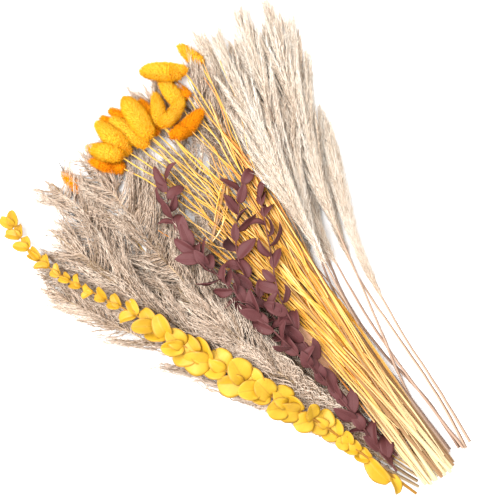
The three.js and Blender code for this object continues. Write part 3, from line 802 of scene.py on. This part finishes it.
# How much wider or slimmer than its solid asks for some plumes are.
FULLER = {
    "pampas_grass_1": 1.4, "pampas_grass_5": 1.5, "pampas_grass_4": 1.2,
    "pampas_grass_2": 0.85, "pampas_grass_7": 0.75, "reed_grass_5": 0.5,
}


def grow_plumes(kind, count, settings, look, paint, seed):
    """Grows a plume on each solid of this kind."""
    tree = bpy.data.node_groups.get("Fluff") or fluff_tree()
    for number in range(1, count + 1):
        node = f"{kind}_{number}"
        rng = np.random.default_rng(seed + number)
        line = solid_line(node)
        size = float(line.widths.max()) / look.usual_width
        own = Look(settings, **look.__dict__)
        own.plume_radius *= size * FULLER.get(node, 1.0)
        own.locks = round(own.locks * max(FULLER.get(node, 1.0), 1.0))
        own.stem_tone = rng.uniform(0.0, 0.09)
        made = plume_chains(line, own, rng).make(f"{kind}_look_{number}")
        shaped(made, tree, node, kind, material=paint, hair_length=own.hair_length,
               hair_thickness=own.hair_thickness, hair_spacing=own.hair_spacing, hair_lean=own.hair_lean,
               wander=own.wander, wander_scale=WANDER_SCALE, strand_sides=3, seed=seed + number)


class BOUQUET_OT_pampas(bpy.types.Operator):
    """Grows the pampas plumes on their solids"""

    bl_idname = "bouquet.pampas"
    bl_label = "Pampas Plumes"

    def execute(self, context):
        settings = context.scene.bouquet_pampas
        # 0.45 is how strongly painted shade darkens each hair towards its root.
        paint = plume_paint("pampas_grass", 0.45, settings.dark, settings.middle, settings.light,
                            tint(140, 115, 85), tint(190, 165, 130))
        look = Look(
            settings, stem_radius=0.0017, plume_start=0.27, foot_swell=0.3, fullest=0.42, taper=0.5,
            taper_from=0.7, crowding=0.9, overrun=0.008, lock_width=0.0045, bend=0.65,
            branchlet_radius=0.0006, matted_start=0.06, matted_end=0.45, matted_radius=0.00062,
            crimp=0.0022, hair_lean=0.42, wander=0.0028, usual_width=0.0135)
        grow_plumes("pampas_grass", PAMPAS_STEMS, settings, look, paint, PAMPAS_SEED)
        return {"FINISHED"}


class BOUQUET_OT_reeds(bpy.types.Operator):
    """Grows the reed plumes on their solids"""

    bl_idname = "bouquet.reeds"
    bl_label = "Reed Plumes"

    def execute(self, context):
        settings = context.scene.bouquet_reeds
        # 0.25 is how strongly painted shade darkens each hair towards its root.
        paint = plume_paint("reed_grass", 0.25, settings.dark, settings.middle, settings.light,
                            tint(112, 90, 80), tint(186, 154, 134))
        look = Look(
            settings, stem_radius=0.0019, plume_start=0.46, foot_swell=0.3, fullest=0.35, taper=0.75,
            taper_from=0.4, crowding=0.85, overrun=0.012, lock_width=0.003, bend=0.8,
            branchlet_radius=0.00042, hair_lean=0.34, wander=0.0018, usual_width=0.0078)
        grow_plumes("reed_grass", REED_STEMS, settings, look, paint, REED_SEED)
        return {"FINISHED"}


# ---- Bunny tails --------------------------------------------------------------------------------


class BOUQUET_PG_bunny_tails(bpy.types.PropertyGroup):
    fuzz_length: length_property("Fuzz Length", "Length of a head's bristles", 0.0040)
    fuzz_thickness: length_property("Fuzz Thickness", "Half a bristle's thickness at its root", 0.00026)
    fuzz_density: FloatProperty(name="Fuzz Density", description="Bristles on a square metre of head",
                                default=2.5e6, min=0.0)
    speckles: share_property("Speckles", "Share of the bristles that are dark", 0.012)
    yellow: colour_property("Yellow", "Colour of the bright bristles", tint(246, 182, 18))
    orange: colour_property("Orange", "Colour of the deep bristles", tint(244, 150, 14))
    stem: colour_property("Stem", "Colour of the fine stems", tint(222, 176, 84))


ORANGE_HEADS = (2, 4, 5, 6, 7, 15, 16)
ORANGE_TONE = 0.45
YELLOW_TONE = 0.8
FUZZ_LAY = 0.45  # how far bristles lie towards the tip
BUNNY_STEM_RADIUS = 0.00062
BUNNY_STEM_RINGS = 48
HEAD_SIDES = 20
HEAD_RINGS = 18


HEAD_BLUNTNESS = 0.55  # 1 is a pointed oval, and less is fuller towards the ends
HEAD_LEAN = 0.82  # under 1 the head is fullest nearer its neck
UNDER_FUZZ = 0.93  # a head's skin over its solid's width, which leaves room for the fuzz
NECK_SWELL = 1.6  # the head starts where the solid is this much wider than its stem


def bunny_parts(line, tone, rng):
    """A stem chain and a closed, blunt head around the line's thick end."""
    thick = NECK_SWELL * line.widths[0]
    neck = line.knots[next(k for k, wide in enumerate(line.widths) if wide > thick) - 1]
    room = line.length - neck
    wide = float(line.widths.max()) * UNDER_FUZZ
    places, faces = [], []
    marks = neck + room * np.linspace(0, 1, HEAD_RINGS)
    shares = np.linspace(0, 1, HEAD_RINGS)
    right, up = line.sides(marks)
    centres = line.at(marks)
    for k, share in enumerate(shares):
        if k in (0, HEAD_RINGS - 1):
            places.append(centres[k])
            continue
        radius = wide * max(math.sin(math.pi * share**HEAD_LEAN), 0) ** HEAD_BLUNTNESS
        for j in range(HEAD_SIDES):
            turn = math.tau * j / HEAD_SIDES
            places.append(centres[k] + radius * (right[k] * math.cos(turn) + up[k] * math.sin(turn)))
    last = len(places) - 1

    def ring(k, j):
        return 1 + (k - 1) * HEAD_SIDES + j % HEAD_SIDES

    for j in range(HEAD_SIDES):
        faces.append((0, ring(1, j), ring(1, j + 1)))
        faces.append((last, ring(HEAD_RINGS - 2, j + 1), ring(HEAD_RINGS - 2, j)))
        for k in range(1, HEAD_RINGS - 2):
            faces.append((ring(k, j), ring(k + 1, j), ring(k + 1, j + 1), ring(k, j + 1)))
    head_count = len(places)
    stem_marks = np.linspace(0, neck + 0.003, BUNNY_STEM_RINGS)
    loose = np.sin(math.pi * np.clip(stem_marks / neck, 0, 1)) ** 0.5
    sway = 0.0016 * np.sin(stem_marks * rng.uniform(60, 110) + rng.uniform(0, 6))
    sway += 0.0007 * np.sin(stem_marks * rng.uniform(180, 260) + rng.uniform(0, 6))
    places += list(line.at(stem_marks) + line.sides(stem_marks)[0] * (loose * sway)[:, None])
    edges = [(head_count + k, head_count + k + 1) for k in range(len(stem_marks) - 1)]
    counts = [1] + [HEAD_SIDES] * (HEAD_RINGS - 2) + [1]
    ahead = line.ahead(marks)
    stem_zero = np.zeros(len(stem_marks))
    numbers = {
        "stem": np.concatenate([np.zeros(head_count), stem_zero + 1]),
        "girth": np.concatenate([np.zeros(head_count), stem_zero + BUNNY_STEM_RADIUS]),
        "tone": np.concatenate([np.full(head_count, tone), stem_zero + 0.12]),
        "share": np.concatenate([np.zeros(head_count), np.linspace(0, 1, len(stem_marks))]),
        "edge": np.zeros(len(places)),
        "tipward": np.concatenate([np.repeat(ahead, counts, 0), np.zeros((len(stem_marks), 3))]),
    }
    return places, edges, faces, numbers


class BOUQUET_OT_bunny_tails(bpy.types.Operator):
    """Grows the bunny tails: fine stems with fuzzy heads"""

    bl_idname = "bouquet.bunny_tails"
    bl_label = "Bunny Tails"

    def execute(self, context):
        settings = context.scene.bouquet_bunny_tails
        paint = bunny_paint(settings)
        tree = fuzz_tree()
        for number in range(1, BUNNY_TAILS + 1):
            node = f"bunny_tail_{number}"
            tone = ORANGE_TONE if number in ORANGE_HEADS else YELLOW_TONE
            rng = np.random.default_rng(BUNNY_SEED + number)
            places, edges, faces, numbers = bunny_parts(solid_line(node), tone, rng)
            mesh = bpy.data.meshes.new(node)
            mesh.from_pydata([tuple(place) for place in places], edges, faces)
            for label, values in numbers.items():
                set_numbers(mesh, label, values)
            made = put_object(f"bunny_tail_look_{number}", mesh)
            shaped(made, tree, node, "bunny_tail", material=paint, fuzz_length=settings.fuzz_length,
                   fuzz_thickness=settings.fuzz_thickness, fuzz_density=settings.fuzz_density,
                   fuzz_lay=FUZZ_LAY, speckles=settings.speckles, seed=BUNNY_SEED + number)
        return {"FINISHED"}


def bunny_paint(settings):
    """Fuzz coloured by tone, with painted shade that deepens each bristle towards orange near its root. Tones
    near 0 are dark speckles, and 0.12 is the stem's.
    """
    paint = Paint("bunny_tail", Roughness=0.85)
    paint.put(paint.shader.inputs["Specular IOR Level"], 0.1)
    tone = paint.attribute("tone")
    share = paint.attribute("share")
    stops = [(0.0, tint(110, 60, 10)), (0.05, tint(120, 70, 20)), (0.08, settings.stem),
             (0.2, settings.stem), (0.3, settings.orange), (0.5, settings.orange),
             (0.72, settings.yellow), (0.95, tint(254, 214, 74))]
    colour = paint.ramp(tone, stops)
    # Painted shade: each bristle mixes towards deep orange near its root, where the fuzz is in shade.
    root = 0.45 * (1.0 - share) * (tone > 0.22)
    paint.base(paint.mix(root, colour, tint(232, 128, 6)))
    return paint.material


# ---- Straws -------------------------------------------------------------------------------------


class BOUQUET_PG_straws(bpy.types.PropertyGroup):
    wall: share_property("Wall", "A straw's wall over its half-width", 0.22)
    fibres: number_property("Fibres", "Fine fibres beside each straw", 5)
    fibre_radius: length_property("Fibre Radius", "Half a fibre's thickness", 0.0007)
    cream: colour_property("Cream", "Colour at the cut ends", tint(216, 197, 154))
    golden: colour_property("Golden", "Colour of most of a straw", tint(222, 162, 48))
    orange: colour_property("Orange", "Colour of the deeply dyed straws", tint(206, 122, 20))


STRAW_RINGS = 42
STRAW_FLATNESS = 0.55
STRAW_OPENINGS = (0.35, 1.2, 2.6)  # radians of the section that a straw, a split straw or a blade lacks
LOOSE_ENDS = 3  # thin stalks that run on past a straw's tip


class BOUQUET_OT_straws(bpy.types.Operator):
    """Lays the dyed straws and folded blades"""

    bl_idname = "bouquet.straws"
    bl_label = "Dyed Straws"

    def execute(self, context):
        settings = context.scene.bouquet_straws
        paint = straw_paint(settings)
        tree = blade_tree()
        for number in range(1, STRAWS + 1):
            node = f"straw_{number}"
            rng = np.random.default_rng(STRAW_SEED + number)
            line = solid_line(node)
            chains = Chains("girth", "tone", "share", "roll", "fine", "edge")
            marks = np.linspace(0, line.length, STRAW_RINGS)
            share = marks / line.length
            tone = rng.uniform(0.0, 1.0)
            width = 0.8 * float(line.widths[1:4].mean()) * (1 - 0.75 * smooth_step(share, 0.7, 1.0))
            roll = rng.uniform(-0.5, 0.5) + rng.uniform(-0.8, 0.8) * share
            chains.add(line.at(marks), girth=width, tone=tone, share=share, roll=roll)
            for _ in range(settings.fibres):
                add_fibre(chains, line, settings.fibre_radius, rng)
            for _ in range(LOOSE_ENDS if number < STRAWS else 0):
                add_loose_end(chains, line, settings.fibre_radius, rng)
            made = chains.make(f"straw_look_{number}")
            opening = rng.choice(STRAW_OPENINGS)
            shaped(made, tree, node, "straw", material=paint, opening=float(opening),
                   wall=settings.wall, flatness=STRAW_FLATNESS)
        return {"FINISHED"}


def add_fibre(chains, line, radius, rng):
    """A fine fibre that leaves its straw's side and comes back near it."""
    start, end = sorted(rng.uniform(0.0, 1.0, 2))
    end = min(1.0, max(end, start + 0.45))
    t = np.linspace(0, 1, 22)
    marks = line.length * (start + (end - start) * t)
    right, up = line.sides(marks)
    width = line.width(marks)
    side = rng.choice([-1, 1])
    aside = side * (width * 0.8 + rng.uniform(0.001, 0.006) * np.sin(math.pi * t * rng.uniform(0.6, 1.0)))
    places = line.at(marks) + right * aside[:, None] + up * (width * 0.45)[:, None]
    girth = radius * rng.uniform(0.7, 1.3) * (0.4 + 0.6 * np.sin(math.pi * (0.12 + 0.76 * t)))
    chains.add(places, girth=girth, tone=rng.uniform(0, 1), share=start + (end - start) * t, fine=1.0)


def add_loose_end(chains, line, radius, rng):
    """A thin stalk that runs on past its straw's tip and bends a little."""
    start = line.length * rng.uniform(0.45, 0.7)
    long = line.length - start + rng.uniform(0.02, 0.07)
    t = np.linspace(0, 1, 30)
    marks = start + long * t
    right, up = line.sides(np.minimum(marks, line.length))
    aside = rng.uniform(-0.028, 0.028) * t**2
    deep = rng.uniform(0.001, 0.004)
    aside += deep * np.sin(rng.uniform(1, 2.5) * math.tau * t + rng.uniform(0, 6))
    places = line.at(marks) + right * aside[:, None] + up * (0.001 + 0.002 * t)[:, None]
    chains.add(places, girth=radius * (1.0 - 0.45 * t), tone=rng.uniform(0.2, 1),
               share=marks / line.length, fine=1.0)


def straw_paint(settings):
    """Cream at the cut end, then golden or orange by tone, with fine darker lines along the straw, paler
    lines that are painted highlights, and painted shade in dark brown on the lowest tones.
    """
    paint = Paint("straw", Roughness=0.5)
    tone = paint.attribute("tone")
    share = paint.attribute("share")
    around = paint.attribute("around")
    place = paint.point(around * 9.0, share * 7.0, tone * 60.0)
    streak_and_highlight, _ = paint.noise(place, 1.0, 4.0)
    blotch, _ = paint.noise(paint.object_place(), 22.0, 2.0)
    deep = paint.ramp(tone * 0.75 + blotch * 0.5 - 0.12, [
        (0.1, tint(236, 204, 132)), (0.3, settings.golden), (0.62, settings.golden),
        (0.85, settings.orange)])
    dyed = paint.ramp_value(share + tone * 0.12, 0.12, 0.6)
    colour = paint.mix(dyed, settings_colour(settings.cream), deep)
    # Painted highlight: where the noise along the straw is high, the colour turns pale cream.
    colour = paint.mix((streak_and_highlight - 0.45) * 2.2, colour, tint(250, 228, 160))
    # Fine darker lines where the same noise is low.
    colour = paint.mix((0.44 - streak_and_highlight) * 3.0, colour, tint(146, 84, 22))
    # Painted shade: straws and fibres with the lowest tones turn dark brown, standing in for stems that lie
    # in shadow deep in the bundle.
    colour = paint.mix((tone < 0.2) * 0.8, colour, tint(128, 76, 30))
    paint.base(colour)
    paint.bump(streak_and_highlight, 0.0004, 0.6)
    return paint.material


def settings_colour(colour):
    return (*colour[:3], 1.0)


# ---- Leaves -------------------------------------------------------------------------------------


def leaf_properties(length, width, step, thickness, colour, under):
    """The sizes and colours of one kind of leaf, as a group of settings."""
    return {
        "leaf_length": length_property("Leaf Length", "Length of a leaf", length),
        "leaf_width": length_property("Leaf Width", "Width of a leaf", width),
        "leaf_step": length_property("Leaf Step", "Distance from one leaf or pair to the next", step),
        "thickness": length_property("Thickness", "Thickness of a leaf", thickness),
        "colour": colour_property("Colour", "Colour of the leaves' upper side", tint(*colour)),
        "under": colour_property("Underside", "Colour of the leaves' lower side", tint(*under)),
    }


class BOUQUET_PG_burgundy(bpy.types.PropertyGroup):
    __annotations__ = leaf_properties(0.025, 0.0125, 0.0088, 0.0005, (86, 38, 39), (64, 29, 30))


class BOUQUET_PG_eucalyptus(bpy.types.PropertyGroup):
    __annotations__ = leaf_properties(0.023, 0.0225, 0.0165, 0.0009, (200, 156, 28), (172, 124, 24))


# Each burgundy branch's route, how far up its leaves start, the degrees its lowest leaves are turned,
# and how much higher than its solid's stem its upper part lies, over the fluff.
BURGUNDY_ROUTES = (
    ([(-0.7, 0.08), (-0.3, 0.3), (-0.18, 0.46), (-0.08, 0.6), (0.16, 0.68), (0.34, 0.73)],
     0.140, 34, 0.003),
    ([(-0.6, 0.08), (-0.2, 0.32), (0, 0.48), (0.22, 0.58), (0.38, 0.68)], 0.122, 30, 0.003),
    ([(-0.88, 0.06), (-0.6, 0.15), (-0.32, 0.28), (-0.27, 0.46), (-0.32, 0.72), (-0.16, 0.83)],
     0.006, 8, 0.009),
)
EUCALYPTUS_ROUTE = [(-1.05, 0), (-0.94, 0.16), (-0.88, 0.27), (-0.98, 0.5), (-1.04, 0.66),
                    (-1.16, 0.81), (-1.16, 0.89), (-1.1, 0.95)]
EUCALYPTUS_BARE = 0.052  # how far up its pairs of leaves start
# The leaves that hang back towards the cut end: how far up, turn and roll in radians, and size.
EUCALYPTUS_END_LEAVES = ((0.056, 3.4, -0.3, 1.15), (0.03, 3.6, 0.5, 0.75))
LEAF_NUMBERS = ("stem", "girth", "tone", "share", "edge", "length", "width", "fold", "curl",
                "ahead", "over")


def unit(way):
    """The same way, one long."""
    return way / np.linalg.norm(way)


def add_leaf(chains, foot, ahead, over, **numbers):
    """A leaf's foot, with the leaf's numbers on it."""
    ahead = unit(ahead)
    over = unit(over - ahead * np.dot(over, ahead))
    chains.add([foot], chained=False, ahead=[ahead], over=[over], **numbers)


def leafy_chains(line, stem_radius, stem_share):
    """Chains that hold a branch's stem, which tapers to a share of its radius, ready for its leaves."""
    chains = Chains(*LEAF_NUMBERS)
    marks = np.linspace(0, line.length, 60)
    wide = np.interp(marks, [0, line.length], [stem_radius, stem_radius * stem_share])
    nothing = np.zeros((len(marks), 3))
    chains.add(line.at(marks), stem=1.0, girth=wide, tone=0.5, share=marks / line.length,
               ahead=nothing, over=nothing)
    return chains


def leaf_way(line, mark, turn, rise):
    """The way of a leaf that leaves the stem turned to one side and lifted, and its upper side."""
    ahead = line.ahead(mark)[0]
    right, up = (way[0] for way in line.sides(mark))
    out = right * math.sin(turn) + ahead * math.cos(turn)
    return out * math.cos(rise) + up * math.sin(rise), up * math.cos(rise) - out * math.sin(rise)


def rolled(ahead, over, roll):
    """A leaf's upper side, turned about the leaf's own length."""
    aside = np.cross(unit(over), unit(ahead))
    return over * math.cos(roll) + aside * math.sin(roll)


def leaf_paint(name, colour, under, vein, mottle, roughness):
    """A leaf: its upper side and underside, a midrib with side veins, and soft mottling."""
    paint = Paint(name, Roughness=roughness)
    along, across, side = paint.parts(paint.attribute_place("blade"))
    tone = paint.attribute("tone")
    blotch, _ = paint.noise(paint.object_place(), 160.0, 3.0)
    fine, _ = paint.noise(paint.object_place(), 1400.0, 2.0)
    face = paint.mix((side + 1.0) * 0.5, settings_colour(under), settings_colour(colour))
    shade = paint.mix((blotch - 0.42) * mottle + (tone - 0.5) * 0.5, face, vein)
    reach = paint.calc("ABSOLUTE", across)
    midrib = paint.highest(1.0 - reach * 11.0, 0.0)
    ribs = paint.highest(paint.sine((along * 34.0 - reach * 12.0)) - 0.8, 0.0) * 2.0
    rim = paint.ramp_value(reach, 0.78, 1.0) * 0.5
    marks = paint.lowest(midrib * 0.3 + ribs * 0.15 + rim + paint.ramp_value(along, 0.22, 0.0) * 0.5, 0.8)
    paint.base(paint.mix(marks, shade, vein))
    paint.bump(fine * 0.35 - midrib * 0.5 - ribs * 0.3 + blotch * 0.4, 0.0006, 0.55)
    return paint.material


class BOUQUET_OT_burgundy(bpy.types.Operator):
    """Grows the burgundy branches with their almond-shaped leaves"""

    bl_idname = "bouquet.burgundy"
    bl_label = "Burgundy Branches"

    def execute(self, context):
        settings = context.scene.bouquet_burgundy
        paint = leaf_paint("burgundy_leaf", settings.colour, settings.under, tint(98, 52, 50), 0.6, 0.7)
        tree = bpy.data.node_groups.get("Leaves") or leaf_tree()
        for number, (route, bare, lowest_turn, lift) in enumerate(BURGUNDY_ROUTES, 1):
            node = f"burgundy_branch_{number}"
            rng = np.random.default_rng(BURGUNDY_SEED + number)
            line = branch_line(node, route, lift)
            chains = leafy_chains(line, 0.0011, 0.5)
            mark, side = bare, 1
            while mark < line.length:
                share = (mark - bare) / (line.length - bare)
                spread = lowest_turn + (36 - lowest_turn) * smooth_step(share, 0.3, 0.6)
                turn = side * math.radians(rng.normal(spread, 15))
                rise = math.radians(rng.uniform(-6, 34))
                ahead, over = leaf_way(line, mark, turn, rise)
                over = rolled(ahead, over, rng.normal(0, 0.85))
                size = rng.uniform(0.72, 1.12) * (1 - 0.15 * share)
                add_leaf(chains, line.at(mark)[0], ahead, over, tone=rng.uniform(0.2, 0.8),
                         length=settings.leaf_length * size, width=settings.leaf_width * size,
                         fold=rng.uniform(0.05, 0.5), curl=-rng.choice([0.3, 0.6, 1.0, 1.6]))
                crowded = 1 - 0.45 * (lift > 0.005) * smooth_step(share, 0.45, 0.6)
                mark += settings.leaf_step * rng.uniform(0.7, 1.3) * crowded
                side = -side if rng.random() < 0.8 else side
            made = chains.make(f"burgundy_branch_look_{number}")
            shaped(made, tree, node, "burgundy_leaf", material=paint, thickness=settings.thickness,
                   roundness=0.85, bluntness=0.85, cells_along=13, cells_across=7)
        return {"FINISHED"}


class BOUQUET_OT_eucalyptus(bpy.types.Operator):
    """Grows the eucalyptus branch with its round, folded leaves"""

    bl_idname = "bouquet.eucalyptus"
    bl_label = "Eucalyptus Branch"

    def execute(self, context):
        settings = context.scene.bouquet_eucalyptus
        paint = leaf_paint("eucalyptus_leaf", settings.colour, settings.under, tint(142, 92, 14), 0.5, 0.55)
        tree = bpy.data.node_groups.get("Leaves") or leaf_tree()
        rng = np.random.default_rng(EUCALYPTUS_SEED)
        line = branch_line("eucalyptus_branch", EUCALYPTUS_ROUTE)
        chains = leafy_chains(line, 0.0014, 0.5)
        mark = EUCALYPTUS_BARE
        for foot, turn, roll, own in EUCALYPTUS_END_LEAVES:
            ahead, over = leaf_way(line, foot, turn, 0.12)
            add_leaf(chains, line.at(foot)[0], ahead, rolled(ahead, over, roll), tone=0.4, fold=0.7,
                     curl=-0.5, length=settings.leaf_length * own * 1.2,
                     width=settings.leaf_width * own * 0.8)
        while mark < line.length:
            share = mark / line.length
            size = 0.62 + 0.43 * smooth_step(share, 0.1, 0.38) - 0.5 * smooth_step(share, 0.55, 0.75)
            size += 0.1 * smooth_step(share, 0.85, 0.95)
            for side in (-1, 1):
                turn = side * math.radians(rng.uniform(8, 42))
                rise = math.radians(rng.uniform(0, 40))
                ahead, over = leaf_way(line, mark, turn, rise)
                over = rolled(ahead, over, side * rng.uniform(-0.4, 0.5))
                own = size * rng.uniform(0.85, 1.1)
                small = smooth_step(share, 0.45, 0.7)
                add_leaf(chains, line.at(mark)[0], ahead, over, tone=rng.uniform(0.1, 0.7) + 0.5 * small,
                         length=settings.leaf_length * own,
                         width=settings.leaf_width * own * (1 - 0.2 * small),
                         fold=rng.uniform(0.1, 0.6) + 0.4 * small, curl=-rng.uniform(0.2, 1.1))
            mark += settings.leaf_step * rng.uniform(0.75, 1.2) * (0.6 + 0.4 * size)
        made = chains.make("eucalyptus_branch_look")
        shaped(made, tree, "eucalyptus_branch", "eucalyptus_leaf", material=paint,
               thickness=settings.thickness, roundness=0.92, bluntness=0.5, cells_along=15, cells_across=9)
        return {"FINISHED"}


class BOUQUET_OT_dried_leaf(bpy.types.Operator):
    """Lays the loose peach-coloured blade of grass"""

    bl_idname = "bouquet.dried_leaf"
    bl_label = "Dried Leaf"

    def execute(self, context):
        paint = leaf_paint("dried_leaf", tint(206, 156, 120), tint(186, 132, 98), tint(170, 116, 80),
                           0.5, 0.6)
        tree = bpy.data.node_groups.get("Leaves") or leaf_tree()
        line = solid_line("dried_leaf")
        chains = Chains(*LEAF_NUMBERS)
        ahead = line.at(line.length)[0] - line.at(0)[0]
        add_leaf(chains, line.at(0)[0], ahead, UP, tone=0.5, length=line.length, width=0.0105,
                 fold=0.35, curl=-0.25)
        made = chains.make("dried_leaf_look")
        shaped(made, tree, "dried_leaf", "dried_leaf", material=paint, thickness=0.0005,
               roundness=0.9, bluntness=0.8, cells_along=25, cells_across=9)
        return {"FINISHED"}


# ---- The stage ----------------------------------------------------------------------------------


VIEW_CENTRE = (-0.0014, 0.0430)


class BOUQUET_PG_stage(bpy.types.PropertyGroup):
    camera_height: length_property("Camera Height", "Height of the camera over the surface", 1.02)
    lens: FloatProperty(name="Lens", description="Focal length of the camera in millimetres", default=80.0)
    key_power: FloatProperty(name="Key Light", description="Power of the main lamp", default=53.0,
                             unit="POWER")
    fill_power: FloatProperty(name="Fill Light", description="Power of the second lamp", default=8.0,
                              unit="POWER")
    sky: FloatProperty(name="Sky", description="Strength of the light from all round", default=0.85,
                       min=0.0)
    camera_turn: FloatProperty(name="Camera Turn", description="Turn of the picture over the bundle",
                               default=math.radians(-38.98), subtype="ANGLE")
    floor: colour_property("Floor", "Colour of the surface", (0.97, 0.97, 0.97))


class BOUQUET_OT_stage(bpy.types.Operator):
    """Sets the pale floor, the soft lights and the camera that looks straight down"""

    bl_idname = "bouquet.stage"
    bl_label = "Stage"

    def execute(self, context):
        settings = context.scene.bouquet_stage
        half = 4.0
        mesh = bpy.data.meshes.new("floor")
        corners = [(-half, -half, 0), (half, -half, 0), (half, half, 0), (-half, half, 0)]
        mesh.from_pydata(corners, [], [(0, 1, 2, 3)])
        floor = put_object("floor", mesh)
        paint = Paint("floor", Roughness=0.9)
        grain, _ = paint.noise(paint.object_place(), 300.0, 2.0)
        paint.base(paint.mix(grain * 0.03, settings_colour(settings.floor), (0.9, 0.9, 0.9, 1.0)))
        mesh.materials.append(paint.material)
        world = bpy.data.worlds.new("studio")
        world.use_nodes = True
        sky = Kit(world.node_tree)
        white = (1.0, 1.0, 1.0, 1.0)
        glow = sky.add("ShaderNodeBackground", {}, {"Color": white, "Strength": settings.sky})
        sky.add("ShaderNodeOutputWorld", {}, {0: glow.outputs[0]})
        context.scene.world = world
        self.lamp("key_light", (-0.45, 0.55, 1.55), 1.1, settings.key_power)
        self.lamp("fill_light", (0.9, 0.2, 1.2), 1.6, settings.fill_power)
        camera = bpy.data.cameras.new("camera")
        camera.lens = settings.lens
        camera.sensor_width = 36.0
        camera.clip_start = 0.01
        camera.clip_end = 50.0
        eye = bpy.data.objects.new("camera", camera)
        eye.location = (VIEW_CENTRE[0], VIEW_CENTRE[1], settings.camera_height)
        eye.rotation_euler = (0.0, 0.0, settings.camera_turn)
        context.scene.collection.objects.link(eye)
        context.scene.camera = eye
        context.scene.view_settings.view_transform = "Standard"
        return {"FINISHED"}

    def lamp(self, name, place, size, power):
        light = bpy.data.lights.new(name, "AREA")
        light.energy = power
        light.size = size
        lamp = bpy.data.objects.new(name, light)
        lamp.location = place
        lamp.rotation_euler = Vector(place).to_track_quat("Z", "Y").to_euler()
        bpy.context.scene.collection.objects.link(lamp)


class BOUQUET_PT_panel(bpy.types.Panel):
    """Lists the bundle's pieces and their sizes and colours"""

    bl_idname = "BOUQUET_PT_panel"
    bl_label = "Dried Bouquet"
    bl_space_type = "VIEW_3D"
    bl_region_type = "UI"
    bl_category = "Bouquet"

    def draw(self, context):
        for name, group, operator in PARTS:
            box = self.layout.box()
            box.operator(operator, text=name)
            if group:
                settings = getattr(context.scene, group)
                for item in settings.bl_rna.properties.keys():
                    if item not in ("name", "rna_type"):
                        box.prop(settings, item)


PARTS = (
    ("Stage", "bouquet_stage", "bouquet.stage"),
    ("Pampas Plumes", "bouquet_pampas", "bouquet.pampas"),
    ("Reed Plumes", "bouquet_reeds", "bouquet.reeds"),
    ("Bunny Tails", "bouquet_bunny_tails", "bouquet.bunny_tails"),
    ("Dyed Straws", "bouquet_straws", "bouquet.straws"),
    ("Burgundy Branches", "bouquet_burgundy", "bouquet.burgundy"),
    ("Eucalyptus Branch", "bouquet_eucalyptus", "bouquet.eucalyptus"),
    ("Dried Leaf", None, "bouquet.dried_leaf"),
)
GROUPS = {
    "bouquet_stage": BOUQUET_PG_stage,
    "bouquet_pampas": BOUQUET_PG_pampas,
    "bouquet_reeds": BOUQUET_PG_reeds,
    "bouquet_bunny_tails": BOUQUET_PG_bunny_tails,
    "bouquet_straws": BOUQUET_PG_straws,
    "bouquet_burgundy": BOUQUET_PG_burgundy,
    "bouquet_eucalyptus": BOUQUET_PG_eucalyptus,
}
CLASSES = (
    *GROUPS.values(),
    BOUQUET_OT_stage,
    BOUQUET_OT_pampas,
    BOUQUET_OT_reeds,
    BOUQUET_OT_bunny_tails,
    BOUQUET_OT_straws,
    BOUQUET_OT_burgundy,
    BOUQUET_OT_eucalyptus,
    BOUQUET_OT_dried_leaf,
    BOUQUET_PT_panel,
)


def register():
    for item in CLASSES:
        bpy.utils.register_class(item)
    for name, group in GROUPS.items():
        setattr(bpy.types.Scene, name, PointerProperty(type=group))


def unregister():
    for name in GROUPS:
        delattr(bpy.types.Scene, name)
    for item in reversed(CLASSES):
        bpy.utils.unregister_class(item)


def main():
    register()
    bpy.ops.bouquet.stage()
    bpy.ops.bouquet.pampas()
    bpy.ops.bouquet.reeds()
    bpy.ops.bouquet.bunny_tails()
    bpy.ops.bouquet.straws()
    bpy.ops.bouquet.burgundy()
    bpy.ops.bouquet.eucalyptus()
    bpy.ops.bouquet.dried_leaf()


if __name__ == "__main__":
    main()
